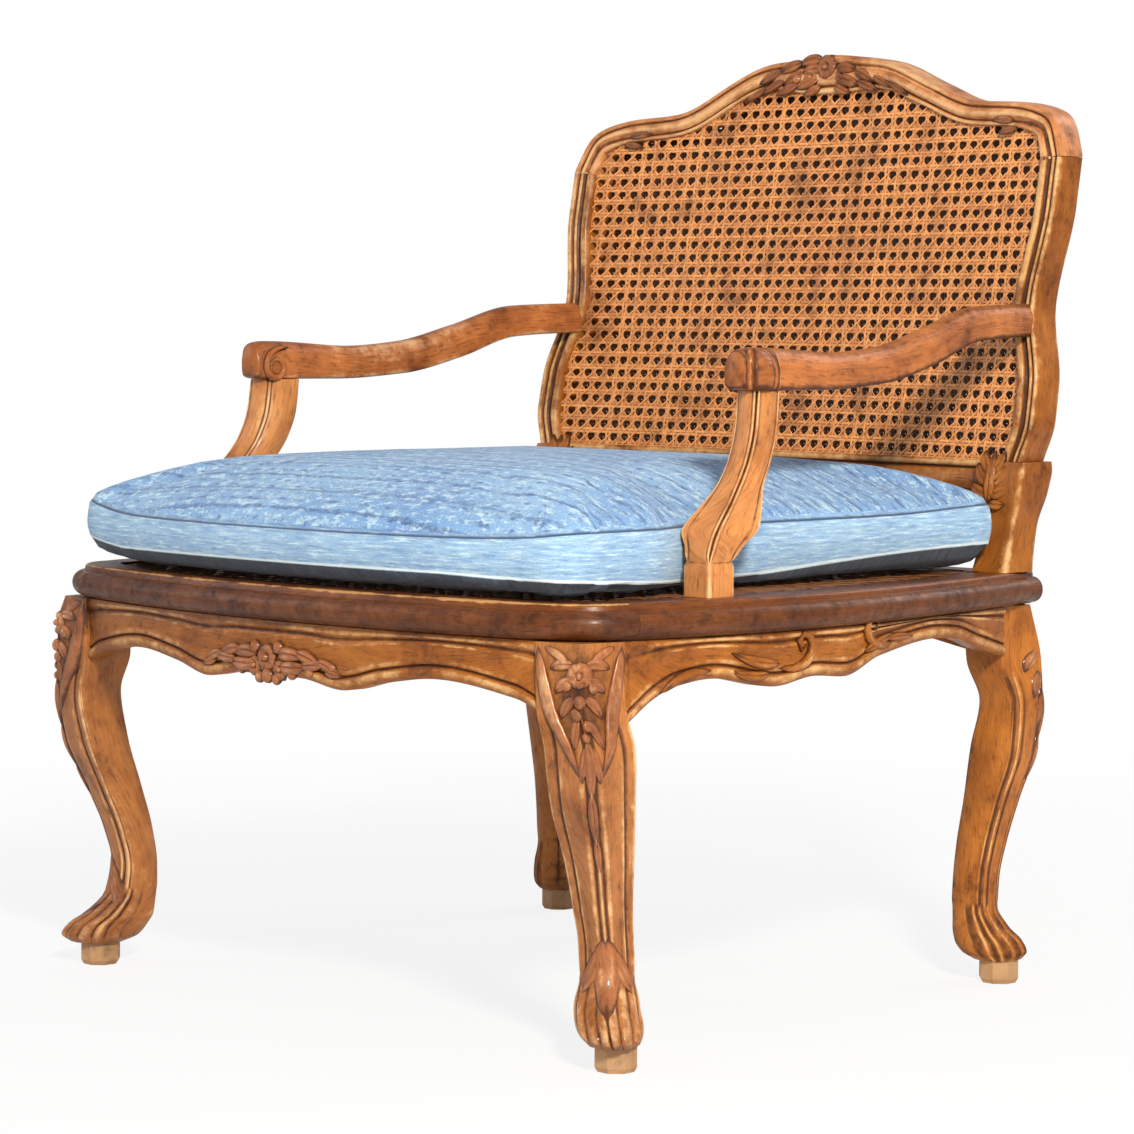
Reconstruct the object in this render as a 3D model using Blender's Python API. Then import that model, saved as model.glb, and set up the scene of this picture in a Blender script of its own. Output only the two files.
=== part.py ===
"""Caned fauteuil in the French country manner, with a loose seat cushion.

The chair stands on the XY plane: -Y is its front, +Z is up, and "right" is +X,
the right-hand side for someone who looks at the chair from the front. All sizes are
in metres. Y is first measured from the line of the front feet; the whole chair then
hangs on one empty that puts the middle of its base on the origin.
"""

import math

import bmesh
import bpy
import numpy as np
from mathutils import Matrix

# Heights of the stacked pieces
PAD_HEIGHT = 0.022
LEG_HEIGHT = 0.342
SEAT_RAIL_HEIGHT = 0.036
LOWER_STILE_HEIGHT = 0.100
ARM_RISE = 0.172
CLEARANCE = 0.0003

# Plan of the seat frame, at its nosing
SEAT_NOSE_Y = -0.095
SEAT_FRONT_BOW = 0.029
FRONT_BOW_HALF = 0.285
SEAT_CORNER_X = 0.375
SEAT_CORNER_Y = 0.012
SEAT_REAR_Y = 0.593
SEAT_REAR_HALF = 0.335
SIDE_BOW = 0.040
SEAT_RAIL_WIDTH = 0.055
NOSING = 0.012

# Aprons under the seat frame
APRON_THICK = 0.024
APRON_END_DROP = 0.047
FRONT_APRON_LOBE = 0.053
FRONT_APRON_THIN = 0.033
SIDE_APRON_LOBE = 0.047
SIDE_APRON_THIN = 0.020
REAR_APRON_DROP = 0.036

# Legs: square blocks at the top, cabriole below
FRONT_BLOCK = 0.053
FRONT_BLOCK_INSET = 0.009
FRONT_BLOCK_PROUD = 0.002
REAR_BLOCK = 0.047
REAR_BLOCK_INSET = 0.005
PAD_WIDTH = 0.039
PAD_FACETS = 8
PAD_FOOT_SHARE = 0.86
LEG_CHAMFER = 0.12

# Back frame: raked, and hollowed across its width
BACK_RAKE = 0.177
BACK_HOLLOW = 0.0215
BACK_THICK = 0.038
BACK_BEVEL = 0.006
STILE_HEIGHT = 0.290
STILE_FACE = 0.031
STILE_FOOT_INSET = 0.004
STILE_HIP_PROUD = 0.005
STILE_WAIST_INSET = 0.014
STILE_TOP_INSET = 0.003
CREST_RISE = 0.114
CREST_FACE = 0.026
CREST_CENTRE_FACE = 0.044
SHOULDER_DROP = 0.057
BOTTOM_RAIL_HEIGHT = 0.048
BOTTOM_RAIL_LIFT = 0.010
LOWER_STILE_FOOT = 0.038
LOWER_STILE_TOP = 0.041
LOWER_STILE_LEAN = 0.020
LOWER_STILE_TUCK = 0.004

# Cane panels and the rebates that hold them
CANE_THICK = 0.0025
CANE_FIT = 0.0012
REBATE = 0.008
FRONT_CANE_SINK = 0.006
REAR_CANE_SINK = 0.003
SEAT_CANE_SINK = 0.001
BACK_CANE_COLUMNS = 13
BACK_CANE_ROWS = 9
REAR_CANE_ROWS = 8
SEAT_CANE_COLUMNS = 9
SEAT_CANE_ROWS = 7
CANE_GAP_SHARE = 0.62
CANE_BORDER = 0.9

# Arms and their posts
ARM_FRONT_X = 0.335
ARM_BOW = 1.6
ARM_FRONT_Y = 0.174
ARM_WIDTH = 0.033
ARM_REAR_WIDTH = 0.026
ARM_DEPTH = 0.031
ARM_CLIMB = 0.047
POST_BASE_Y = 0.120
POST_INSET = 0.046
POST_BASE = 0.028
POST_BASE_HEIGHT = 0.030
POST_TOP_WIDTH = 0.033
POST_TOP_DEPTH = 0.031

# Tenons
TENON_THICK = 0.010
TENON_LONG = 0.018
TENON_TALL = 0.022
TENON_ROOT = 0.004
STUB_TENON = 0.014
RAIL_TENON_SHARE = 0.42

# Loose cushion: half widths run from the front to the rear edge
CUSHION_FRONT_HALF = 0.339
CUSHION_WAIST_HALF = 0.311
CUSHION_REAR_HALF = 0.311
CUSHION_FRONT_LAP = 0.018
CUSHION_REAR_GAP = 0.003
CUSHION_CORNER = 0.055
CUSHION_REAR_CORNER = 0.014
CUSHION_UNDER = 0.024
CUSHION_BOXING = 0.054
CUSHION_CROWN = 0.036
CUSHION_BULGE = 0.003
COVER_WALL = 0.0025
ZIP_HALF_LENGTH = 0.180
ZIP_SHARE = 0.40

# Colour, roughness and metallic value of each finish
WAXED_WOOD = ((0.40, 0.155, 0.040), 0.32, 0.0)
DARK_WOOD = ((0.22, 0.080, 0.028), 0.30, 0.0)
PALE_WOOD = ((0.52, 0.30, 0.13), 0.60, 0.0)
CANE = ((0.50, 0.25, 0.075), 0.45, 0.0)
DENIM = ((0.33, 0.47, 0.68), 0.95, 0.0)
FOAM = ((0.80, 0.76, 0.62), 0.90, 0.0)
ZIP_TAPE = ((0.10, 0.14, 0.24), 0.70, 0.0)

# Levels that follow from the stack
APRON_TOP = PAD_HEIGHT + LEG_HEIGHT
SEAT_TOP = APRON_TOP + SEAT_RAIL_HEIGHT
STILE_JOINT = SEAT_TOP + LOWER_STILE_HEIGHT
CREST_JOINT = STILE_JOINT + STILE_HEIGHT
CREST_TOP = CREST_JOINT + CREST_RISE
ARM_UNDER = SEAT_TOP + ARM_RISE

RIGHT = 1
LEFT = -1
SIDE_NAMES = {RIGHT: "right", LEFT: "left"}


def smooth(keys, share):
    """Values on a smooth curve through rows of (share, value, ...), with no overshoot."""
    table = np.array(keys, float)
    at = table[:, 0]
    values = table[:, 1:]
    secants = np.diff(values, axis=0) / np.diff(at)[:, None]
    before = secants[:-1]
    after = secants[1:]
    turns = before * after <= 0.0
    total = np.where(turns, 1.0, before + after)
    inner = np.where(turns, 0.0, 2.0 * before * after / total)
    slopes = np.vstack([secants[:1], inner, secants[-1:]])
    share = np.atleast_1d(np.asarray(share, float))
    i = np.clip(np.searchsorted(at, share, side="right") - 1, 0, len(at) - 2)
    step = (at[i + 1] - at[i])[:, None]
    t = (share - at[i])[:, None] / step
    start = (2 * t**3 - 3 * t**2 + 1) * values[i] + (t**3 - 2 * t**2 + t) * step * slopes[i]
    end = (3 * t**2 - 2 * t**3) * values[i + 1] + (t**3 - t**2) * step * slopes[i + 1]
    return start + end


def resample(line, shares):
    """Points at shares of a polyline's length."""
    line = np.asarray(line, float)
    steps = np.linalg.norm(np.diff(line, axis=0), axis=1)
    along = np.concatenate(([0.0], np.cumsum(steps))) / steps.sum()
    return np.stack([np.interp(shares, along, column) for column in line.T], axis=1)


def material(name, finish):
    """A Principled material with the finish's colour, roughness and metallic value."""
    colour, roughness, metallic = finish
    made = bpy.data.materials.new(name + "_finish")
    made.use_nodes = True
    shader = made.node_tree.nodes["Principled BSDF"]
    shader.inputs["Base Color"].default_value = (*colour, 1.0)
    shader.inputs["Roughness"].default_value = roughness
    shader.inputs["Metallic"].default_value = metallic
    made.diffuse_color = (*colour, 1.0)
    return made


def add_object(name, bm, finish):
    """Turn a bmesh into a named object with its faces outward."""
    bmesh.ops.recalc_face_normals(bm, faces=bm.faces[:])
    mesh = bpy.data.meshes.new(name)
    bm.to_mesh(mesh)
    bm.free()
    mesh.materials.append(material(name, finish))
    made = bpy.data.objects.new(name, mesh)
    bpy.context.scene.collection.objects.link(made)
    return made


def skin(bm, rings, skip=()):
    """Join equal rings of vertices with quads, leaving out the quads in skip."""
    made = [[bm.verts.new(point) for point in ring] for ring in rings]
    count = len(made[0])
    for i in range(len(made) - 1):
        for j in range(count):
            if (i, j) not in skip:
                k = (j + 1) % count
                bm.faces.new((made[i][j], made[i][k], made[i + 1][k], made[i + 1][j]))
    bm.faces.new(made[0])
    bm.faces.new(made[-1])
    return made


def loft(name, rings, finish):
    """A closed solid through equal rings of points, capped at both ends."""
    bm = bmesh.new()
    skin(bm, rings)
    return add_object(name, bm, finish)


def box(low, high, name):
    """A hidden box, for the joints."""
    bm = bmesh.new()
    bmesh.ops.create_cube(bm, size=1.0)
    low = np.array(low)
    high = np.array(high)
    for vert in bm.verts:
        vert.co = (low + high) / 2 + np.array(vert.co) * (high - low)
    made = add_object(name, bm, PALE_WOOD)
    made.hide_render = True
    made.display_type = "WIRE"
    return made


def boolean(target, tool, operation):
    """Leave a Boolean with the hidden box on the target."""
    change = target.modifiers.new(tool.name, "BOOLEAN")
    change.operation = operation
    change.solver = "EXACT"
    change.object = tool


def tenon(axis, owner, holder, root, direction, centre, half_sizes, length):
    """Give owner a box tenon along one axis from a root plane, and cut its mortise in holder."""
    low = np.array(centre, float)
    high = np.array(centre, float)
    across = [i for i in range(3) if i != axis]
    for i, half in zip(across, half_sizes):
        low[i] -= half
        high[i] += half
    ends = (root - direction * TENON_ROOT, root + direction * length)
    low[axis] = min(ends)
    high[axis] = max(ends)
    label = owner.name + "_in_" + holder.name
    boolean(owner, box(low, high, label + "_tenon"), "UNION")
    boolean(holder, box(low - CLEARANCE, high + CLEARANCE, label + "_mortise"), "DIFFERENCE")


def mirror(points, side):
    """Points for the right (side 1) or, mirrored in X, for the left (side -1)."""
    return np.asarray(points, float) * np.array([side, 1.0, 1.0])


# Plan lines of the seat

def front_nose_y(x):
    """Nosing of the bowed front seat rail."""
    return SEAT_NOSE_Y + SEAT_FRONT_BOW * (np.asarray(x) / FRONT_BOW_HALF) ** 2


def side_nose_x(y):
    """Nosing of the bowed side seat rail, at its fullest a third of the way back."""
    share = (np.asarray(y, float) - SEAT_CORNER_Y) / (SEAT_REAR_Y - SEAT_CORNER_Y)
    chord = SEAT_CORNER_X + (SEAT_REAR_HALF - SEAT_CORNER_X) * share
    full = np.sin(math.pi * np.clip(share, 0.0, 1.0) ** 0.8)
    return chord + SIDE_BOW * full


FRONT_LEG_X = SEAT_CORNER_X - FRONT_BLOCK_INSET - FRONT_BLOCK / 2
FRONT_APRON_END = FRONT_LEG_X - FRONT_BLOCK / 2
FRONT_LEG_Y = float(front_nose_y(FRONT_APRON_END)) + NOSING - FRONT_BLOCK_PROUD + FRONT_BLOCK / 2
REAR_LEG_X = SEAT_REAR_HALF - REAR_BLOCK_INSET - REAR_BLOCK / 2
REAR_LEG_Y = SEAT_REAR_Y - REAR_BLOCK_INSET - REAR_BLOCK / 2
LEG_CENTRES = {"front": (FRONT_LEG_X, FRONT_LEG_Y), "rear": (REAR_LEG_X, REAR_LEG_Y)}
LEG_BLOCKS = {"front": FRONT_BLOCK, "rear": REAR_BLOCK}
LEG_OUTWARD = {"front": (1.0, -1.0), "rear": (1.0, 1.0)}

# Leg sections down the cabriole: share of the leg's height, then distances from the
# block's centre along the outward diagonal (outer edge, middle, inner edge), half the
# width across that diagonal, and the drift of the leg across it
FRONT_LEG_LINE = (
    (0.00, 0.017, -0.003, -0.023, 0.020, 0.032),
    (0.03, 0.038, -0.004, -0.044, 0.027, 0.030),
    (0.08, 0.020, -0.016, -0.053, 0.028, 0.027),
    (0.15, -0.009, -0.033, -0.057, 0.023, 0.027),
    (0.23, -0.014, -0.036, -0.058, 0.023, 0.025),
    (0.33, -0.007, -0.030, -0.053, 0.025, 0.021),
    (0.45, 0.009, -0.016, -0.042, 0.029, 0.017),
    (0.60, 0.032, 0.002, -0.028, 0.036, 0.010),
    (0.73, 0.043, 0.010, -0.023, 0.038, 0.005),
)
REAR_LEG_LINE = (
    (0.00, 0.025, 0.005, -0.015, 0.020, -0.007),
    (0.03, 0.038, 0.002, -0.033, 0.026, -0.007),
    (0.08, 0.024, -0.005, -0.035, 0.026, -0.007),
    (0.15, 0.006, -0.015, -0.036, 0.022, -0.007),
    (0.23, 0.008, -0.014, -0.036, 0.022, -0.006),
    (0.33, 0.016, -0.008, -0.032, 0.023, -0.005),
    (0.45, 0.030, 0.003, -0.025, 0.027, -0.004),
    (0.60, 0.045, 0.015, -0.016, 0.031, -0.002),
    (0.73, 0.050, 0.018, -0.014, 0.033, -0.001),
)
LEG_LINES = {"front": FRONT_LEG_LINE, "rear": REAR_LEG_LINE}
LEG_BLOCK_SHARE = 0.845
KNEE_SWELL = {"front": 0.005, "rear": 0.012}
LEG_STATIONS = 15


def leg_frame(end):
    """Unit vectors outward along a right leg's diagonal, and across it."""
    out = np.array(LEG_OUTWARD[end]) / math.sqrt(2.0)
    across = np.array([-out[1], out[0]]) * (1.0 if end == "front" else -1.0)
    return out, across


def leg_keys(end):
    """Sections of a leg from the foot up, ending in its square block."""
    half = LEG_BLOCKS[end] / math.sqrt(2.0)
    swelled = (LEG_BLOCK_SHARE, half + KNEE_SWELL[end], 0.0, -half, half, 0.0)
    block = (1.0, half, 0.0, -half, half, 0.0)
    return (*LEG_LINES[end], swelled, block)


def leg_ring(end, share, section):
    """Eight points of a leg's section: a four-sided shape with its corners cut."""
    outer, middle, inner, half, drift = section
    out, across = leg_frame(end)
    corners = np.array([[outer, drift], [middle, drift + half], [inner, drift], [middle, drift - half]])
    plan = corners[:, :1] * out + corners[:, 1:] * across + np.array(LEG_CENTRES[end])
    after = np.roll(plan, -1, axis=0)
    before = np.roll(plan, 1, axis=0)
    ring = np.empty((8, 2))
    ring[0::2] = plan + (before - plan) * LEG_CHAMFER
    ring[1::2] = plan + (after - plan) * LEG_CHAMFER
    low = PAD_HEIGHT + CLEARANCE
    z = np.full((8, 1), low + (APRON_TOP - low) * share)
    return np.hstack([ring, z])


def pad_centre(end):
    """Centre of the pad under a right leg."""
    out, across = leg_frame(end)
    _, outer, _, inner, _, drift = LEG_LINES[end][0]
    return np.array(LEG_CENTRES[end]) + (outer + inner) / 2 * out + drift * across


def make_leg(end, side):
    """One cabriole leg."""
    keys = leg_keys(end)
    curved = np.linspace(0.0, LEG_BLOCK_SHARE, LEG_STATIONS)
    shares = np.append(curved, 1.0)
    sections = smooth(keys, shares)
    rings = [mirror(leg_ring(end, s, row), side) for s, row in zip(shares, sections)]
    return loft(f"leg_{end}_{SIDE_NAMES[side]}", rings, WAXED_WOOD)


def make_pad(end, side):
    """The faceted pad that a leg stands on."""
    angles = (np.arange(PAD_FACETS) + 0.5) * 2 * math.pi / PAD_FACETS
    circle = np.stack([np.cos(angles), np.sin(angles)], axis=1) * PAD_WIDTH / 2
    rings = []
    for scale, z in ((PAD_FOOT_SHARE, 0.0), (1.0, PAD_HEIGHT * 0.2), (1.0, PAD_HEIGHT)):
        plan = circle * scale + pad_centre(end)
        rings.append(mirror(np.hstack([plan, np.full((PAD_FACETS, 1), z)]), side))
    return loft(f"foot_pad_{end}_{SIDE_NAMES[side]}", rings, PALE_WOOD)


# Aprons

FRONT_APRON_LINE = (
    (0.00, FRONT_APRON_LOBE - 0.004),
    (0.28, FRONT_APRON_LOBE),
    (0.45, FRONT_APRON_THIN + 0.006),
    (0.66, FRONT_APRON_THIN),
    (1.00, APRON_END_DROP),
)
REAR_APRON_LINE = (
    (0.00, REAR_APRON_DROP),
    (0.60, REAR_APRON_DROP - 0.004),
    (1.00, APRON_END_DROP),
)
SIDE_APRON_LINE = (
    (0.00, APRON_END_DROP + 0.015),
    (0.05, APRON_END_DROP + 0.004),
    (0.10, SIDE_APRON_LOBE - 0.007),
    (0.17, SIDE_APRON_LOBE - 0.011),
    (0.31, SIDE_APRON_LOBE),
    (0.40, SIDE_APRON_LOBE - 0.006),
    (0.48, SIDE_APRON_LOBE - 0.003),
    (0.58, SIDE_APRON_THIN + 0.009),
    (0.74, SIDE_APRON_THIN),
    (0.82, SIDE_APRON_THIN + 0.005),
    (0.89, APRON_END_DROP - 0.004),
    (1.00, APRON_END_DROP),
)
APRON_STATIONS = 21


def make_cross_apron(end, keys):
    """The front or rear apron, between two legs along X."""
    reach = LEG_CENTRES[end][0] - LEG_BLOCKS[end] / 2 - CLEARANCE
    shares = np.linspace(-1.0, 1.0, APRON_STATIONS)
    drops = smooth(keys, np.abs(shares))[:, 0]
    rings = []
    for share, drop in zip(shares, drops):
        x = share * reach
        if end == "front":
            face = float(front_nose_y(x)) + NOSING
            back = face + APRON_THICK
        else:
            face = SEAT_REAR_Y - NOSING
            back = face - APRON_THICK
        low = APRON_TOP - drop
        rings.append([(x, face, APRON_TOP), (x, face, low), (x, back, low), (x, back, APRON_TOP)])
    return loft(f"apron_{end}", rings, WAXED_WOOD)


def side_apron_span():
    """Y of a side apron's two ends, at the faces of the legs' blocks."""
    start = FRONT_LEG_Y + FRONT_BLOCK / 2 + CLEARANCE
    stop = REAR_LEG_Y - REAR_BLOCK / 2 - CLEARANCE
    return start, stop


def make_side_apron(side):
    """A bowed side apron, between the legs of one side."""
    start, stop = side_apron_span()
    shares = np.linspace(0.0, 1.0, APRON_STATIONS)
    drops = smooth(SIDE_APRON_LINE, shares)[:, 0]
    rings = []
    for share, drop in zip(shares, drops):
        y = start + (stop - start) * share
        face = float(side_nose_x(y)) - NOSING
        back = face - APRON_THICK
        low = APRON_TOP - drop
        ring = [(face, y, APRON_TOP), (face, y, low), (back, y, low), (back, y, APRON_TOP)]
        rings.append(mirror(ring, side))
    return loft(f"apron_{SIDE_NAMES[side]}", rings, WAXED_WOOD)


# Seat frame

def rail_section():
    """Section of a seat rail: (distance in from the nosing, height), with its rebate."""
    low = APRON_TOP + CLEARANCE
    tall = SEAT_TOP - low
    floor = SEAT_TOP - SEAT_CANE_SINK - CANE_THICK - CLEARANCE
    return (
        (NOSING, low),
        (NOSING * 0.55, low + tall * 0.14),
        (NOSING * 0.10, low + tall * 0.34),
        (0.0, low + tall * 0.58),
        (NOSING * 0.30, low + tall * 0.88),
        (NOSING * 0.85, SEAT_TOP),
        (SEAT_RAIL_WIDTH - REBATE, SEAT_TOP),
        (SEAT_RAIL_WIDTH - REBATE, floor),
        (SEAT_RAIL_WIDTH, floor),
        (SEAT_RAIL_WIDTH, low),
    )


CORNER_STEPS = 6
CORNER_FULL = 0.56
FRONT_STEPS = 7


def front_rail_line():
    """Nosing points of the right half of the front rail, and the way in from each."""
    xs = np.linspace(0.0, FRONT_BOW_HALF, FRONT_STEPS, endpoint=False)
    bow = np.stack([xs, front_nose_y(xs)], axis=1)
    bow_normals = np.stack([-2 * SEAT_FRONT_BOW * xs / FRONT_BOW_HALF**2, np.ones_like(xs)], axis=1)
    start = np.array([FRONT_BOW_HALF, float(front_nose_y(FRONT_BOW_HALF))])
    stop = np.array([SEAT_CORNER_X, SEAT_CORNER_Y])
    slope = np.array([1.0, 2 * SEAT_FRONT_BOW / FRONT_BOW_HALF])
    reach = (stop - start) * CORNER_FULL
    handle_a = start + slope * reach[0]
    handle_b = stop - np.array([0.0, 1.0]) * reach[1]
    t = np.linspace(0.0, 1.0, CORNER_STEPS)[:, None]
    corner = (1 - t)**3 * start + 3 * (1 - t)**2 * t * handle_a
    corner = corner + 3 * (1 - t) * t**2 * handle_b + t**3 * stop
    along = (1 - t)**2 * (handle_a - start) + 2 * (1 - t) * t * (handle_b - handle_a)
    along = along + t**2 * (stop - handle_b)
    corner_normals = np.stack([-along[:, 1], along[:, 0]], axis=1)
    normals = np.vstack([bow_normals, corner_normals])
    normals = normals / np.linalg.norm(normals, axis=1, keepdims=True)
    return np.vstack([bow, corner]), normals


def rail_ring(point, inward):
    """The rail section set up at a nosing point."""
    ring = [(*(np.array(point) + np.array(inward) * distance), z) for distance, z in rail_section()]
    return np.array(ring)


def make_front_seat_rail():
    """The front seat rail, which turns both front corners."""
    points, normals = front_rail_line()
    right = [rail_ring(p, n) for p, n in zip(points, normals)]
    left = [mirror(ring, LEFT) for ring in reversed(right[1:])]
    return loft("seat_rail_front", left + right, DARK_WOOD)


SIDE_RAIL_STATIONS = 12


def make_side_seat_rail(side):
    """A side seat rail, from the front rail's end to the rear corner."""
    ys = np.linspace(SEAT_CORNER_Y + CLEARANCE, SEAT_REAR_Y, SIDE_RAIL_STATIONS)
    rings = [mirror(rail_ring((float(side_nose_x(y)), y), (-1.0, 0.0)), side) for y in ys]
    return loft(f"seat_rail_{SIDE_NAMES[side]}", rings, DARK_WOOD)


def side_inner_x(y, inset=0.0):
    """Inner edge of the side seat rail, or a line outside it by inset."""
    return side_nose_x(y) - SEAT_RAIL_WIDTH + inset


def make_rear_seat_rail():
    """The rear seat rail, fitted between the side rails."""
    right = []
    for distance, z in rail_section():
        y = SEAT_REAR_Y - distance
        right.append((float(side_inner_x(y)) - CLEARANCE, y, z))
    return loft("seat_rail_rear", [mirror(right, LEFT), np.array(right)], DARK_WOOD)


# Cane panels

def lattice(count):
    """Shares of a net's bars and gaps across its width, from edge to edge."""
    bar = 1.0 - CANE_GAP_SHARE
    widths = [CANE_BORDER]
    for i in range(count):
        widths.append(CANE_GAP_SHARE)
        widths.append(bar if i < count - 1 else CANE_BORDER)
    along = np.concatenate(([0.0], np.cumsum(widths)))
    return along / along[-1]


def coons(south, east, north, west, us, vs):
    """Points of a patch between four edge lines, as a grid of (v, u)."""
    s = resample(south, us)[None]
    n = resample(north, us)[None]
    w = resample(west, vs)[:, None]
    e = resample(east, vs)[:, None]
    u = us[None, :, None]
    v = vs[:, None, None]
    corners = (1 - u) * (1 - v) * s[:, :1] + u * (1 - v) * s[:, -1:]
    corners = corners + (1 - u) * v * n[:, :1] + u * v * n[:, -1:]
    return (1 - v) * s + v * n + (1 - u) * w + u * e - corners


def make_net(name, edges, columns, rows, place):
    """A flat net: a plate with a grid of gaps, set in space by place(points, depth)."""
    grid = coons(*edges, lattice(columns), lattice(rows))
    height, width = grid.shape[:2]
    bm = bmesh.new()
    faces = []
    for depth in (0.0, CANE_THICK):
        points = place(grid.reshape(-1, 2), depth).reshape(height, width, 3)
        faces.append([[bm.verts.new(p) for p in row] for row in points])
    front, back = faces
    solid = np.ones((height + 1, width + 1), bool)
    solid[2:-2:2, 2:-2:2] = False
    solid[[0, -1], :] = False
    solid[:, [0, -1]] = False
    for i in range(height - 1):
        for j in range(width - 1):
            if solid[i + 1, j + 1]:
                for sheet in (front, back):
                    bm.faces.new((sheet[i][j], sheet[i][j + 1], sheet[i + 1][j + 1], sheet[i + 1][j]))
    for i in range(height):
        for j in range(width - 1):
            if solid[i, j + 1] != solid[i + 1, j + 1]:
                bm.faces.new((front[i][j], front[i][j + 1], back[i][j + 1], back[i][j]))
    for i in range(height - 1):
        for j in range(width):
            if solid[i + 1, j] != solid[i + 1, j + 1]:
                bm.faces.new((front[i][j], front[i + 1][j], back[i + 1][j], back[i][j]))
    return add_object(name, bm, CANE)


EDGE_STEPS = 24


def make_seat_cane():
    """The seat's cane, lying in the rebate of the four seat rails."""
    lap = REBATE - CANE_FIT
    points, normals = front_rail_line()
    inner = points + normals * (SEAT_RAIL_WIDTH - lap)
    turn = FRONT_STEPS + CORNER_STEPS // 2
    right_front = inner[:turn + 1]
    south = np.vstack([mirror_plan(right_front)[::-1], right_front[1:]])
    rear_y = SEAT_REAR_Y - SEAT_RAIL_WIDTH + lap
    ys = np.linspace(SEAT_CORNER_Y, rear_y, EDGE_STEPS)
    side = np.stack([side_inner_x(ys, lap), ys], axis=1)
    east = np.vstack([inner[turn:], side[1:]])
    north = np.array([mirror_plan(east)[-1], east[-1]])
    top = SEAT_TOP - SEAT_CANE_SINK

    def place(plan, depth):
        return np.hstack([plan, np.full((len(plan), 1), top - depth)])

    edges = (south, east, north, mirror_plan(east))
    return make_net("seat_cane", edges, SEAT_CANE_COLUMNS, SEAT_CANE_ROWS, place)


def mirror_plan(points):
    """Flat points mirrored in their first axis."""
    return np.asarray(points) * np.array([-1.0, 1.0])


# Back frame

STILE_FOOT_X = SEAT_REAR_HALF - STILE_FOOT_INSET
STILE_HIP_X = SEAT_REAR_HALF + STILE_HIP_PROUD
STILE_WAIST_X = SEAT_REAR_HALF - STILE_WAIST_INSET
STILE_TOP_X = SEAT_REAR_HALF - STILE_TOP_INSET
STILE_CENTRE_X = STILE_FOOT_X - STILE_FACE / 2
BACK_Y = REAR_LEG_Y + LOWER_STILE_LEAN - BACK_THICK / 2 + BACK_HOLLOW


def back_point(flat, depth):
    """Points of the back from (x, z) and the depth behind its front face."""
    flat = np.asarray(flat, float)
    x = flat[:, 0]
    z = flat[:, 1]
    front = BACK_Y + BACK_RAKE * (z - STILE_JOINT) - BACK_HOLLOW * (x / STILE_CENTRE_X) ** 2
    return np.stack([x, front + depth, z], axis=1)


def stile_outer_x(share):
    """Outer edge of a back stile by its share of height."""
    keys = (
        (0.00, STILE_FOOT_X),
        (0.13, STILE_HIP_X),
        (0.25, STILE_HIP_X),
        (0.55, STILE_WAIST_X),
        (1.00, STILE_TOP_X),
    )
    return smooth(keys, share)[:, 0]


CREST_STATIONS = 14


def crest_line():
    """Outer points of the right half of the crest, and the inner point for each."""
    span = STILE_TOP_X
    deep = SHOULDER_DROP
    keys = (
        (0.00, 0.0, 0.0),
        (0.18, span * 0.21, deep * 0.16),
        (0.36, span * 0.42, deep * 0.61),
        (0.52, span * 0.61, deep * 0.97),
        (0.66, span * 0.79, deep + 0.002),
        (0.82, span * 0.935, deep + 0.016),
        (1.00, span, CREST_RISE),
    )
    shares = np.linspace(0.0, 1.0, CREST_STATIONS)
    line = smooth(keys, shares)
    outer = np.stack([line[:, 0], CREST_TOP - line[:, 1]], axis=1)
    along = np.gradient(outer, axis=0)
    inward = np.stack([along[:, 1], -along[:, 0]], axis=1)
    inward = inward / np.linalg.norm(inward, axis=1, keepdims=True)
    inward[0] = (0.0, -1.0)
    inward[-1] = (-1.0, 0.0)
    swell = np.exp(-((line[:, 0] / (span * 0.2)) ** 2))
    ends = shares ** 6
    face = CREST_FACE + (CREST_CENTRE_FACE - CREST_FACE) * swell + (STILE_FACE - CREST_FACE) * ends
    return outer, inward, face


def back_ring(outer, inward, face):
    """Section of a back member, with a rebate for cane on the front and on the rear."""
    front_floor = FRONT_CANE_SINK + CANE_THICK + CLEARANCE
    rear_floor = BACK_THICK - REAR_CANE_SINK - CANE_THICK - CLEARANCE
    steps = (
        (BACK_BEVEL, 0.0),
        (0.0, BACK_BEVEL),
        (0.0, BACK_THICK),
        (face - REBATE, BACK_THICK),
        (face - REBATE, rear_floor),
        (face, rear_floor),
        (face, front_floor),
        (face - REBATE, front_floor),
        (face - REBATE, 0.0),
    )
    ring = [back_point([np.array(outer) + np.array(inward) * s], depth)[0] for s, depth in steps]
    return np.array(ring)


STILE_STATIONS = 15


def make_back_stile(side):
    """A side member of the back frame, from the lower stile to the crest."""
    shares = np.linspace(0.0, 1.0, STILE_STATIONS)
    xs = stile_outer_x(shares)
    zs = STILE_JOINT + CLEARANCE + (STILE_HEIGHT - 2 * CLEARANCE) * shares
    rings = [mirror(back_ring((x, z), (-1.0, 0.0), STILE_FACE), side) for x, z in zip(xs, zs)]
    return loft(f"back_stile_{SIDE_NAMES[side]}", rings, WAXED_WOOD)


def make_crest():
    """The shaped crest rail, which turns down at both shoulders."""
    outer, inward, face = crest_line()
    right = [back_ring(o, i, f) for o, i, f in zip(outer, inward, face)]
    left = [mirror(ring, LEFT) for ring in reversed(right[1:])]
    return loft("crest_rail", left + right, WAXED_WOOD)


BOTTOM_RAIL_TOP = STILE_JOINT + BOTTOM_RAIL_LIFT
BOTTOM_STATIONS = 19


def lower_stile_half(share):
    """Half width of a lower stile by its share of height: it swells at the top."""
    keys = (
        (0.0, LOWER_STILE_FOOT / 2),
        (0.4, LOWER_STILE_FOOT / 2),
        (0.75, LOWER_STILE_TOP / 2),
        (1.0, LOWER_STILE_TOP / 2),
    )
    return float(smooth(keys, share)[0, 0])


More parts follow.
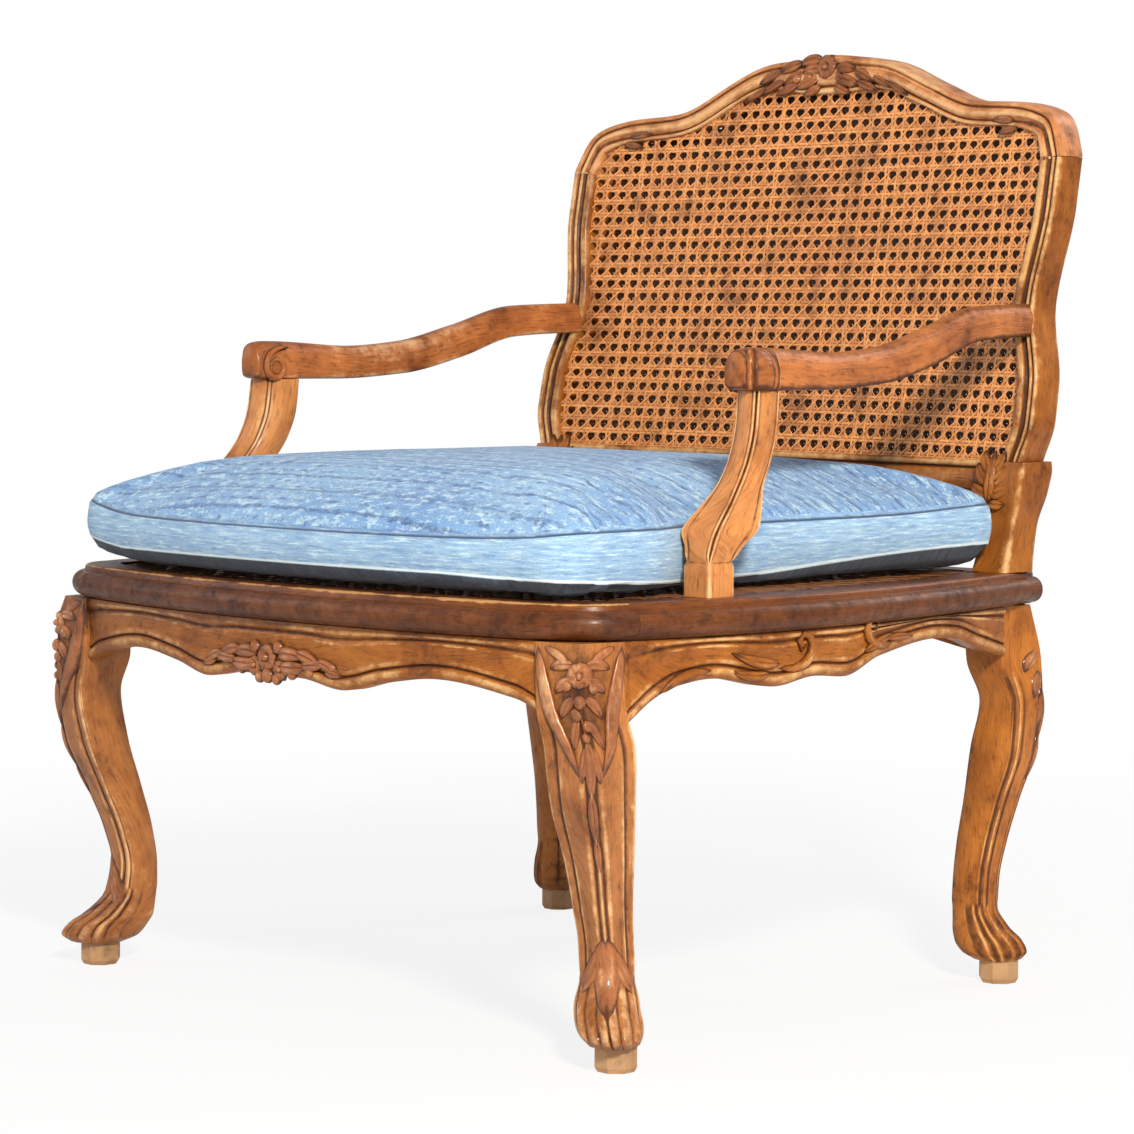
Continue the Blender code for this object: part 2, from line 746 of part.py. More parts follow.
def lower_stile_centre(share):
    """Centre of a right lower stile by its share of height."""
    x = REAR_LEG_X + (STILE_CENTRE_X - LOWER_STILE_TUCK - REAR_LEG_X) * share
    return x, REAR_LEG_Y + LOWER_STILE_LEAN * share


LOWER_STILE_STATIONS = 7


def make_lower_stile(side):
    """The carved block that carries a back stile on the seat frame."""
    rings = []
    for share in np.linspace(0.0, 1.0, LOWER_STILE_STATIONS):
        x, y = lower_stile_centre(share)
        half = lower_stile_half(share)
        z = SEAT_TOP + CLEARANCE + (LOWER_STILE_HEIGHT - CLEARANCE) * share
        corners = ((-1, -1), (1, -1), (1, 1), (-1, 1))
        rings.append(mirror([(x + half * i, y + half * j, z) for i, j in corners], side))
    return loft(f"lower_stile_{SIDE_NAMES[side]}", rings, WAXED_WOOD)


def bottom_rail_reach():
    """Half length of the bottom rail, up to the nearest face of the lower stiles."""
    shares = np.linspace(0.0, 1.0, LOWER_STILE_STATIONS)
    faces = [lower_stile_centre(s)[0] - lower_stile_half(s) for s in shares]
    return min(faces) - CLEARANCE


def make_bottom_rail():
    """The bottom rail of the back, hollowed like the rest of it."""
    reach = bottom_rail_reach()
    xs = np.linspace(-reach, reach, BOTTOM_STATIONS)
    low = BOTTOM_RAIL_TOP - BOTTOM_RAIL_HEIGHT
    rings = [back_ring((x, low), (0.0, 1.0), BOTTOM_RAIL_HEIGHT) for x in xs]
    return loft("back_bottom_rail", rings, WAXED_WOOD)


def make_back_cane(name, columns, rows, depth):
    """One of the two cane panels of the back, lying in its rebate."""
    lap = REBATE - CANE_FIT
    shares = np.linspace(0.0, 1.0, EDGE_STEPS)
    zs = STILE_JOINT + STILE_HEIGHT * shares
    foot = BOTTOM_RAIL_TOP - lap
    stile = np.stack([stile_outer_x(shares) - STILE_FACE + lap, zs], axis=1)
    stile = stile[zs > foot]
    foot_x = float(stile_outer_x((foot - STILE_JOINT) / STILE_HEIGHT)[0]) - STILE_FACE + lap
    stile = np.vstack([[foot_x, foot], stile])
    outer, inward, face = crest_line()
    crest = outer + inward * (face - lap)[:, None]
    turn = CREST_STATIONS - 4
    east = np.vstack([stile, crest[turn:-1][::-1]])
    north_right = crest[:turn + 1]
    north = np.vstack([mirror_plan(north_right)[::-1], north_right[1:]])
    south = np.array([mirror_plan(east)[0], east[0]])

    def place(flat, sink):
        return back_point(flat, depth + sink)

    return make_net(name, (south, east, north, mirror_plan(east)), columns, rows, place)


# Arms

ARM_STATIONS = 13
ARM_END_Z = ARM_UNDER + ARM_CLIMB + ARM_DEPTH / 2
ARM_STILE_X = float(stile_outer_x((ARM_END_Z - STILE_JOINT) / STILE_HEIGHT)[0])
ARM_REAR_X = ARM_STILE_X - STILE_FACE / 2


def arm_sections():
    """Share along an arm, then its centre X, underside, width and height there."""
    keys = (
        (0.00, ARM_UNDER, ARM_WIDTH, ARM_DEPTH),
        (0.25, ARM_UNDER, ARM_WIDTH, ARM_DEPTH),
        (0.45, ARM_UNDER + ARM_CLIMB * 0.14, ARM_WIDTH, ARM_DEPTH),
        (0.62, ARM_UNDER + ARM_CLIMB * 0.50, ARM_WIDTH, ARM_DEPTH),
        (0.80, ARM_UNDER + ARM_CLIMB * 0.93, ARM_REAR_WIDTH, ARM_DEPTH),
        (1.00, ARM_UNDER + ARM_CLIMB, ARM_REAR_WIDTH, ARM_DEPTH),
    )
    shares = np.linspace(0.0, 1.0, ARM_STATIONS)
    xs = ARM_FRONT_X + (ARM_REAR_X - ARM_FRONT_X) * shares**ARM_BOW
    return shares, np.hstack([xs[:, None], smooth(keys, shares)])


def arm_ring(x, y, under, width, depth):
    """Section of an arm, flat below and rounded on top."""
    half = width / 2
    return np.array([
        (x - half * 0.8, y, under),
        (x + half * 0.8, y, under),
        (x + half, y, under + depth * 0.35),
        (x + half * 0.9, y, under + depth * 0.75),
        (x + half * 0.5, y, under + depth),
        (x - half * 0.5, y, under + depth),
        (x - half * 0.9, y, under + depth * 0.75),
        (x - half, y, under + depth * 0.35),
    ])


def arm_end_y(ring):
    """Y of the back stile's front face beside each point of a ring."""
    return back_point(ring[:, [0, 2]], 0.0)[:, 1] - CLEARANCE


def make_arm(side):
    """An arm, from its scrolled front end to the back stile."""
    shares, sections = arm_sections()
    end = arm_ring(sections[-1, 0], 0.0, *sections[-1, 1:])
    end_y = arm_end_y(end)
    rings = []
    for share, (x, under, width, depth) in zip(shares, sections):
        ring = arm_ring(x, 0.0, under, width, depth)
        ring[:, 1] = ARM_FRONT_Y + (end_y - ARM_FRONT_Y) * share
        rings.append(mirror(ring, side))
    return loft(f"arm_{SIDE_NAMES[side]}", rings, DARK_WOOD)


POST_LINE = ((0.0, 0.0), (0.18, 0.20), (0.36, 0.47), (0.60, 0.79), (0.78, 0.93), (1.0, 1.0))
POST_STATIONS = 9
POST_FLAT = 0.7


def post_base():
    """Plan centre of a right arm post on the seat rail."""
    return np.array([float(side_nose_x(POST_BASE_Y)) - POST_INSET, POST_BASE_Y])


def post_top():
    """Plan centre of a right arm post under the arm."""
    return np.array([ARM_FRONT_X, ARM_FRONT_Y + POST_TOP_DEPTH / 2])


def post_ring(centre, width, depth, z):
    """Section of an arm post: a rectangle with its corners cut."""
    half = np.array([width / 2, depth / 2])
    cut = POST_FLAT
    quarter = np.array([(1, cut), (cut, 1)])
    half_round = np.vstack([quarter, (quarter * (-1, 1))[::-1]])
    corners = np.vstack([half_round, -half_round])
    return np.hstack([centre + corners * half, np.full((len(corners), 1), z)])


def make_post(side):
    """An arm post: a square foot, then a curve back and inward up to the arm."""
    foot = SEAT_TOP + CLEARANCE
    start = SEAT_TOP + POST_BASE_HEIGHT
    stop = ARM_UNDER - CLEARANCE
    shares = np.linspace(0.0, 1.0, POST_STATIONS)
    travel = smooth(POST_LINE, shares)
    centres = post_base() + (post_top() - post_base()) * travel
    rings = [post_ring(post_base(), POST_BASE, POST_BASE, foot)]
    for share, centre in zip(shares, centres):
        width = POST_BASE + (POST_TOP_WIDTH - POST_BASE) * share
        depth = POST_BASE + (POST_TOP_DEPTH - POST_BASE) * share
        rings.append(post_ring(centre, width, depth, start + (stop - start) * share))
    return loft(f"arm_post_{SIDE_NAMES[side]}", [mirror(r, side) for r in rings], WAXED_WOOD)


# Cushion

CUSHION_FRONT_Y = SEAT_NOSE_Y + CUSHION_FRONT_LAP
CUSHION_REAR_Y = REAR_LEG_Y - LOWER_STILE_FOOT / 2 - CUSHION_BULGE - CUSHION_REAR_GAP
CUSHION_LOW = SEAT_TOP - SEAT_CANE_SINK + CLEARANCE
CORNER_ARC = 4
SIDE_POINTS = 5
REAR_POINTS = 4


def cushion_half(y):
    """Half width of the cushion: full before the arm posts, then tapering."""
    waist_y = ARM_FRONT_Y
    keys = (
        (CUSHION_FRONT_Y, CUSHION_FRONT_HALF),
        (POST_BASE_Y - POST_BASE * 1.5, CUSHION_FRONT_HALF),
        (waist_y, CUSHION_WAIST_HALF),
        (CUSHION_REAR_Y, CUSHION_REAR_HALF),
    )
    table = np.array(keys)
    return np.interp(y, table[:, 0], table[:, 1])


def cushion_outline():
    """Plan of the cushion's seam, from the middle of the front round to the left."""
    front = np.linspace(0.0, CUSHION_FRONT_HALF - CUSHION_CORNER, 4)
    bow = SEAT_FRONT_BOW * (front / FRONT_BOW_HALF) ** 2
    line = [np.stack([front, CUSHION_FRONT_Y + bow], axis=1)]
    turn = np.linspace(0.0, math.pi / 2, CORNER_ARC + 2)[1:-1]
    front_y = line[0][-1, 1] + CUSHION_CORNER
    arc_x = CUSHION_FRONT_HALF - CUSHION_CORNER + CUSHION_CORNER * np.sin(turn)
    line.append(np.stack([arc_x, front_y - CUSHION_CORNER * np.cos(turn)], axis=1))
    ys = np.linspace(front_y, CUSHION_REAR_Y - CUSHION_REAR_CORNER, SIDE_POINTS)
    ys = np.sort(np.append(ys, (POST_BASE_Y - POST_BASE * 1.5, ARM_FRONT_Y)))
    line.append(np.stack([cushion_half(ys), ys], axis=1))
    turn = np.linspace(0.0, math.pi / 2, 3)[1:]
    rear_x = line[-1][-1, 0] - CUSHION_REAR_CORNER
    arc_y = CUSHION_REAR_Y - CUSHION_REAR_CORNER + CUSHION_REAR_CORNER * np.sin(turn)
    line.append(np.stack([rear_x + CUSHION_REAR_CORNER * np.cos(turn), arc_y], axis=1))
    zip_x = np.linspace(ZIP_HALF_LENGTH, 0.0, REAR_POINTS)
    line.append(np.stack([zip_x, np.full(REAR_POINTS, CUSHION_REAR_Y)], axis=1))
    right = np.vstack(line)
    return np.vstack([right, mirror_plan(right[1:-1])[::-1]])


# Rings of the cushion: share of the plan, share of each height band, and the band
CUSHION_BANDS = (
    ("under", 0.15), ("under", 0.55), ("under", 0.85), ("under", 1.0),
    ("boxing", 0.30), ("boxing", 0.30 + ZIP_SHARE),
    ("crown", 1.0), ("crown", 0.93), ("crown", 0.75), ("crown", 0.45), ("crown", 0.15),
)
ZIP_ROW = 4


def cushion_rings(inset):
    """Rings of the cushion from the middle of its underside to the top of its crown."""
    seam = CUSHION_LOW + CUSHION_UNDER
    top_seam = seam + CUSHION_BOXING
    outline = cushion_outline()
    middle = np.array([0.0, (CUSHION_FRONT_Y + CUSHION_REAR_Y) / 2])
    reach = np.abs(outline - middle).max(axis=0)
    rings = []
    for band, share in CUSHION_BANDS:
        grow = -inset / reach
        if band == "under":
            scale = share + grow * share
            z = seam - CUSHION_UNDER * (1.0 - share**2) + inset
        elif band == "boxing":
            scale = 1.0 + grow + CUSHION_BULGE / reach
            z = seam + CUSHION_BOXING * share
        else:
            scale = share + grow * share
            z = top_seam + CUSHION_CROWN * (1.0 - share**2) - inset
        plan = middle + (outline - middle) * scale
        rings.append(np.hstack([plan, np.full((len(plan), 1), z)]))
    return rings


def zip_columns():
    """Columns of the outline's quads that the zip opening takes."""
    outline = cushion_outline()
    mid = (outline + np.roll(outline, -1, axis=0)) / 2
    at_rear = mid[:, 1] > CUSHION_REAR_Y - CLEARANCE
    return [int(i) for i in np.nonzero(at_rear & (np.abs(mid[:, 0]) < ZIP_HALF_LENGTH))[0]]


def make_cover():
    """The cushion's sewn cover: a thin shell, open at the rear where the zip is."""
    bm = bmesh.new()
    columns = zip_columns()
    gap = {(ZIP_ROW, j) for j in columns}
    outer = skin(bm, cushion_rings(0.0), gap)
    inner = skin(bm, cushion_rings(COVER_WALL), gap)
    count = len(outer[0])
    for j in columns:
        k = (j + 1) % count
        for row in (ZIP_ROW, ZIP_ROW + 1):
            bm.faces.new((outer[row][j], outer[row][k], inner[row][k], inner[row][j]))
    for j in (columns[0], (columns[-1] + 1) % count):
        low = ZIP_ROW
        bm.faces.new((outer[low][j], outer[low + 1][j], inner[low + 1][j], inner[low][j]))
    return add_object("cushion_cover", bm, DENIM)


def make_foam():
    """The cushion's foam block, inside the cover."""
    return loft("cushion_foam", cushion_rings(COVER_WALL + 2 * CLEARANCE), FOAM)


def make_zip():
    """The zip that closes the cover at the rear of the boxing."""
    outer = cushion_rings(0.0)
    inner = cushion_rings(COVER_WALL)
    columns = zip_columns()
    middle = columns[len(columns) // 2]
    wide = np.abs(outer[ZIP_ROW][columns[0], 0])
    wide = min(wide, np.abs(inner[ZIP_ROW][columns[0], 0])) - CLEARANCE
    far = outer[ZIP_ROW][middle, 1]
    near = inner[ZIP_ROW][middle, 1]
    low = outer[ZIP_ROW][0, 2] + CLEARANCE
    high = outer[ZIP_ROW + 1][0, 2] - CLEARANCE
    rings = [[(x, near, low), (x, far, low), (x, far, high), (x, near, high)] for x in (-wide, wide)]
    return loft("cushion_zip", rings, ZIP_TAPE)


# Joints

def join_aprons(legs, aprons):
    """Tenons of the aprons in the legs' blocks."""
    tall = (TENON_THICK / 2, TENON_TALL / 2)
    z = APRON_TOP - FRONT_APRON_THIN / 2 - TENON_ROOT
    for side in (RIGHT, LEFT):
        for end in ("front", "rear"):
            x = LEG_CENTRES[end][0] - LEG_BLOCKS[end] / 2
            if end == "front":
                y = float(front_nose_y(x)) + NOSING + APRON_THICK / 2
            else:
                y = SEAT_REAR_Y - NOSING - APRON_THICK / 2
            centre = (side * x, y, z)
            tenon(0, aprons[end], legs[end, side], side * x, side, centre, tall, TENON_LONG)
        start, stop = side_apron_span()
        for end, y, way in (("front", start, -1), ("rear", stop, 1)):
            x = side * (float(side_nose_x(y)) - NOSING - APRON_THICK / 2)
            tenon(1, aprons[side], legs[end, side], y, way, (x, y, z), tall, TENON_LONG)


def join_seat(legs, rails):
    """Tenons between the seat rails, and of the legs in the rails."""
    square = (TENON_THICK / 2, TENON_THICK / 2)
    z = APRON_TOP + SEAT_RAIL_HEIGHT * RAIL_TENON_SHARE
    for side in (RIGHT, LEFT):
        x = side * (SEAT_CORNER_X - SEAT_RAIL_WIDTH / 2)
        y = SEAT_CORNER_Y
        tenon(1, rails[side], rails["front"], y, -1, (x, y, z), square, TENON_LONG)
        y = SEAT_REAR_Y - SEAT_RAIL_WIDTH + REBATE
        x = side * float(side_inner_x(y))
        tenon(0, rails["rear"], rails[side], x, side, (x, y, z), square, REBATE)
        rear = (side * REAR_LEG_X, REAR_LEG_Y, APRON_TOP)
        tenon(2, legs["rear", side], rails[side], APRON_TOP, 1, rear, square, STUB_TENON)
        front = (side * FRONT_LEG_X, FRONT_LEG_Y + TENON_THICK, APRON_TOP)
        tenon(2, legs["front", side], rails["front"], APRON_TOP, 1, front, square, STUB_TENON / 2)


def join_back(rails, lower, stiles, crest, bottom):
    """Tenons of the lower stiles, back stiles and bottom rail."""
    square = (TENON_THICK / 2, TENON_THICK / 2)
    for side in (RIGHT, LEFT):
        foot = (side * REAR_LEG_X, REAR_LEG_Y, SEAT_TOP)
        tenon(2, lower[side], rails[side], SEAT_TOP, -1, foot, square, STUB_TENON)
        joints = (
            (lower[side], STILE_FOOT_X - STILE_FACE / 2, STILE_JOINT, -1),
            (crest, STILE_TOP_X - STILE_FACE / 2, CREST_JOINT, 1),
        )
        for holder, x, z, way in joints:
            y = float(back_point([(x, z)], BACK_THICK / 2)[0, 1])
            tenon(2, stiles[side], holder, z, way, (side * x, y, z), square, TENON_LONG)
        x = bottom_rail_reach()
        z = BOTTOM_RAIL_TOP - BOTTOM_RAIL_HEIGHT * 0.7
        y = float(back_point([(x, z)], BACK_THICK / 2)[0, 1])
        tenon(0, bottom, lower[side], side * x, side, (side * x, y, z), square, TENON_THICK)


def join_arms(rails, stiles, arms, posts):
    """Tenons of the arms in the back stiles, and of the posts in arms and seat rails."""
    square = (TENON_THICK / 2, TENON_THICK / 2)
    slim = (TENON_THICK * 0.4, TENON_THICK / 2)
    for side in (RIGHT, LEFT):
        x = ARM_STILE_X - (STILE_FACE - REBATE) / 2
        y = float(back_point([(x, ARM_END_Z)], 0.0)[0, 1])
        tenon(1, arms[side], stiles[side], y, 1, (side * x, y, ARM_END_Z), slim, TENON_LONG)
        x, y = post_top()
        tenon(2, posts[side], arms[side], ARM_UNDER, 1, (side * x, y, ARM_UNDER), square, TENON_LONG)
        solid_rail = SEAT_RAIL_WIDTH - REBATE - TENON_THICK / 2 - TENON_ROOT
        x = float(side_nose_x(POST_BASE_Y)) - min(POST_INSET, solid_rail)
        centre = (side * x, POST_BASE_Y, SEAT_TOP)
        tenon(2, posts[side], rails[side], SEAT_TOP, -1, centre, square, TENON_LONG)


def clear_scene():
    """Remove what the scene holds."""
    for item in list(bpy.data.objects):
        bpy.data.objects.remove(item, do_unlink=True)


def set_origin(pieces, cushion):
    """Hang the chair on one empty, so that the middle of its base is the origin."""
    ys = [vert.co.y for piece in pieces for vert in piece.data.vertices]
    root = bpy.data.objects.new("fauteuil", None)
    root.location.y = -(min(ys) + max(ys)) / 2
    lift = bpy.data.objects.new("cushion_lift", None)
    lift.location = (0.0, (CUSHION_FRONT_Y + CUSHION_REAR_Y) / 2, SEAT_TOP)
    lift.parent = root
    for empty in (root, lift):
        bpy.context.scene.collection.objects.link(empty)
    for piece in list(bpy.context.scene.collection.objects):
        if piece in cushion:
            piece.data.transform(Matrix.Translation(-lift.location))
            piece.parent = lift
        elif piece.type == "MESH":
            piece.parent = root


def main():
    """Build every piece, join them and set the chair on its origin."""
    clear_scene()
    sides = (RIGHT, LEFT)
    ends = ("front", "rear")
    legs = {(end, side): make_leg(end, side) for end in ends for side in sides}
    pads = [make_pad(end, side) for end in ends for side in sides]
    aprons = {
        "front": make_cross_apron("front", FRONT_APRON_LINE),
        "rear": make_cross_apron("rear", REAR_APRON_LINE),
        RIGHT: make_side_apron(RIGHT),
        LEFT: make_side_apron(LEFT),
    }
    rails = {
        "front": make_front_seat_rail(),
        "rear": make_rear_seat_rail(),
        RIGHT: make_side_seat_rail(RIGHT),
        LEFT: make_side_seat_rail(LEFT),
    }
    lower = {side: make_lower_stile(side) for side in sides}
    stiles = {side: make_back_stile(side) for side in sides}
    crest = make_crest()
    bottom = make_bottom_rail()
    rear_depth = BACK_THICK - REAR_CANE_SINK - CANE_THICK
    canes = [
        make_seat_cane(),
        make_back_cane("back_cane_front", BACK_CANE_COLUMNS, BACK_CANE_ROWS, FRONT_CANE_SINK),
        make_back_cane("back_cane_rear", BACK_CANE_COLUMNS, REAR_CANE_ROWS, rear_depth),
    ]
    arms = {side: make_arm(side) for side in sides}
    posts = {side: make_post(side) for side in sides}
    cushion = [make_cover(), make_foam(), make_zip()]
    pieces = [*legs.values(), *pads, *aprons.values(), *rails.values(), *lower.values()]
    pieces += [*stiles.values(), crest, bottom, *canes, *arms.values(), *posts.values(), *cushion]
    join_aprons(legs, aprons)
    join_seat(legs, rails)
    join_back(rails, lower, stiles, crest, bottom)
    join_arms(rails, stiles, arms, posts)
    set_origin(pieces, cushion)


main()
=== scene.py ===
"""Caned fauteuil: the dressed chair, its light and its camera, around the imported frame.

Y is first measured from the line of the front feet, and each mesh is then shifted by FEET_Y
into the frame's own coordinates. Right is +X, the front is -Y, up is +Z. Sizes are in metres.
"""

import logging
import math
from collections.abc import Callable, Sequence
from dataclasses import astuple, dataclass, replace
from enum import Enum, IntEnum

import bpy
import numpy as np
from mathutils import Matrix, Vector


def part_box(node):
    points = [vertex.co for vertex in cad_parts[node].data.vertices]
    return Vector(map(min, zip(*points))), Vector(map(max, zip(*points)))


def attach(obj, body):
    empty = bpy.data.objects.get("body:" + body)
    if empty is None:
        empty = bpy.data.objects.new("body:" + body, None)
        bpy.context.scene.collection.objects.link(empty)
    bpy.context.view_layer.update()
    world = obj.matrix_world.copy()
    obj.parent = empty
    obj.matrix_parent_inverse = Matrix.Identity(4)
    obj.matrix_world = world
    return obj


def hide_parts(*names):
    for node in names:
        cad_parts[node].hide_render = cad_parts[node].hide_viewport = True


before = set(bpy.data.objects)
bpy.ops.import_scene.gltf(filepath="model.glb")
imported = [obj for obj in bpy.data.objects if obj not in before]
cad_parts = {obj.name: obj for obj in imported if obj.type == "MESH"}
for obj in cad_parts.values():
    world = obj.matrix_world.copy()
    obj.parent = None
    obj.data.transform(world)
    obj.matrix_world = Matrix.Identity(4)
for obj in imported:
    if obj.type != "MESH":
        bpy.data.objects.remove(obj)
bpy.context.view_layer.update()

Array = np.ndarray
Pair = tuple[float, float]
Triple = tuple[float, float, float]
Colour = Triple
Beads = Sequence[Triple]
Keys = Sequence[Sequence[float]]
LOG = logging.getLogger("fauteuil")

SEAT_NOSE_Y = -0.095
FEET_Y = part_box("seat_rail_front")[0].y - SEAT_NOSE_Y
SHARP_ANGLE = math.radians(48.0)
RIDGE_BEND = 170.0
REAR_CORNER = (0.3065, 0.5645)
WHITE = (1.0, 1.0, 1.0)
JOINT_GAP = 0.0003


class Side(Enum):
    """A side of the chair, with the sign of its X."""

    RIGHT = 1
    LEFT = -1

    @property
    def word(self) -> str:
        """The side's name in the frame's nodes."""
        return self.name.lower()


class End(Enum):
    """The front or the rear of the chair."""

    FRONT = "front"
    REAR = "rear"


class Body(Enum):
    """The frame's two bodies."""

    FRAME = "frame"
    CUSHION = "cushion"


# Curves and grids


def eased(keys: Keys, share: Array | float) -> Array:
    """Values on a smooth curve through rows of (share, value, ...), with no overshoot.

    Cubic pieces, whose slopes are the harmonic means of the neighbouring secants.

    Args:
        keys: Rows of a share and one or more values.
        share: Where to read the curve.

    Returns:
        One row of values for each share.
    """
    table = np.array(keys, float)
    at = table[:, 0]
    values = table[:, 1:]
    secants = np.diff(values, axis=0) / np.diff(at)[:, None]
    turns = secants[:-1] * secants[1:] <= 0.0
    total = np.where(turns, 1.0, secants[:-1] + secants[1:])
    inner = np.where(turns, 0.0, 2.0 * secants[:-1] * secants[1:] / total)
    slopes = np.vstack([secants[:1], inner, secants[-1:]])
    share = np.atleast_1d(np.asarray(share, float))
    i = np.clip(np.searchsorted(at, share, side="right") - 1, 0, len(at) - 2)
    step = (at[i + 1] - at[i])[:, None]
    t = (share - at[i])[:, None] / step
    start = (2 * t**3 - 3 * t**2 + 1) * values[i] + (t**3 - 2 * t**2 + t) * step * slopes[i]
    end = (3 * t**2 - 2 * t**3) * values[i + 1] + (t**3 - t**2) * step * slopes[i + 1]
    return start + end


def rounded(points: Array, rounds: int = 2) -> Array:
    """A closed outline with its corners cut: each side keeps its middle half, once per round.

    Args:
        points: Outline points, with the outline on the second last axis.
        rounds: How often the corners are cut.

    Returns:
        The finer outline.
    """
    for _ in range(rounds):
        after = np.roll(points, -1, axis=-2)
        pair = np.stack([0.75 * points + 0.25 * after, 0.25 * points + 0.75 * after], axis=-2)
        points = pair.reshape(*points.shape[:-2], -1, points.shape[-1])
    return points


def resampled(line: Array, count: int, closed: bool = False) -> Array:
    """Points at equal steps of length along a line.

    Args:
        line: The line's points.
        count: How many points to return.
        closed: Whether the line returns to its start.

    Returns:
        The new points.
    """
    if closed:
        line = np.vstack([line, line[:1]])
    steps = np.linalg.norm(np.diff(line, axis=0), axis=1)
    along = np.concatenate([[0.0], np.cumsum(steps)])
    at = np.linspace(0.0, along[-1], count, endpoint=not closed)
    return np.stack([np.interp(at, along, column) for column in line.T], axis=1)


def mirrored(points: Array, side: Side) -> Array:
    """Points of a right-hand piece, mirrored in X for the left."""
    return points * (side.value, 1.0, 1.0)


def bell(x: Array, centre: float, width: float) -> Array:
    """A bell curve of height 1."""
    return np.exp(-(((x - centre) / width) ** 2))


def moulded(x: Array, beads: Beads) -> Array:
    """A sum of bell curves, from rows of (height, centre, width)."""
    return sum(height * bell(x, centre, width) for height, centre, width in beads)


def full_turn(count: int) -> Array:
    """Angles at equal steps round a full turn."""
    return np.linspace(0.0, 2 * math.pi, count, endpoint=False)


def squared(turn: Array, power: Array | float) -> tuple[Array, Array]:
    """Cosine and sine to a power, with their signs kept: 1 gives a circle, near 0 a square."""
    return tuple(np.abs(wave) ** power * np.sign(wave) for wave in (np.cos(turn), np.sin(turn)))


def unit(vectors: Array) -> Array:
    """Vectors brought to length 1."""
    return vectors / np.linalg.norm(vectors, axis=-1, keepdims=True)


def inside_out(block: Array) -> Array:
    """Which grids have their faces inward, by the sign of the volume they enclose.

    Args:
        block: Grids as (grid, row, column, xyz).

    Returns:
        One flag for each grid.
    """
    local = block - block.mean(axis=(1, 2), keepdims=True)
    across = np.roll(local, -1, axis=2)[:, :-1] - local[:, :-1]
    along = local[:, 1:] - local[:, :-1]
    return (local[:, :-1] * np.cross(across, along)).sum(axis=(1, 2, 3)) < 0.0


def bends(block: Array) -> Array:
    """How sharply each grid point stands out (positive) or lies in a hollow (negative).

    The curvature across and along the grid, from each point's distance to the middle of its
    neighbours, softened across the rings and squeezed into -1 to 1.

    Args:
        block: Grids as (grid, row, column, xyz).

    Returns:
        One value for each point, as (grid, row, column).
    """
    left = np.roll(block, 1, axis=2)
    right = np.roll(block, -1, axis=2)
    down = np.concatenate([block[:, :1], block[:, :-1]], axis=1)
    up = np.concatenate([block[:, 1:], block[:, -1:]], axis=1)
    normal = np.cross(right - left, up - down)
    normal = normal / np.maximum(np.linalg.norm(normal, axis=-1, keepdims=True), 1e-12)

    def curve(a: Array, b: Array) -> Array:
        """Curvature towards the normal through a point and two neighbours.

        Args:
            a: One neighbour of each point.
            b: The other.

        Returns:
            One curvature for each point.
        """
        rise = (((a + b) / 2 - block) * normal).sum(axis=-1)
        reach = ((a - block) ** 2 + (b - block) ** 2).sum(axis=-1)
        return -4.0 * rise / np.maximum(reach, 1e-8)

    total = curve(left, right)
    total[:, 1:-1] += curve(down, up)[:, 1:-1]
    for _ in range(2):
        total = (np.roll(total, 1, axis=2) + 2 * total + np.roll(total, -1, axis=2)) / 4
    return np.tanh(total / RIDGE_BEND)


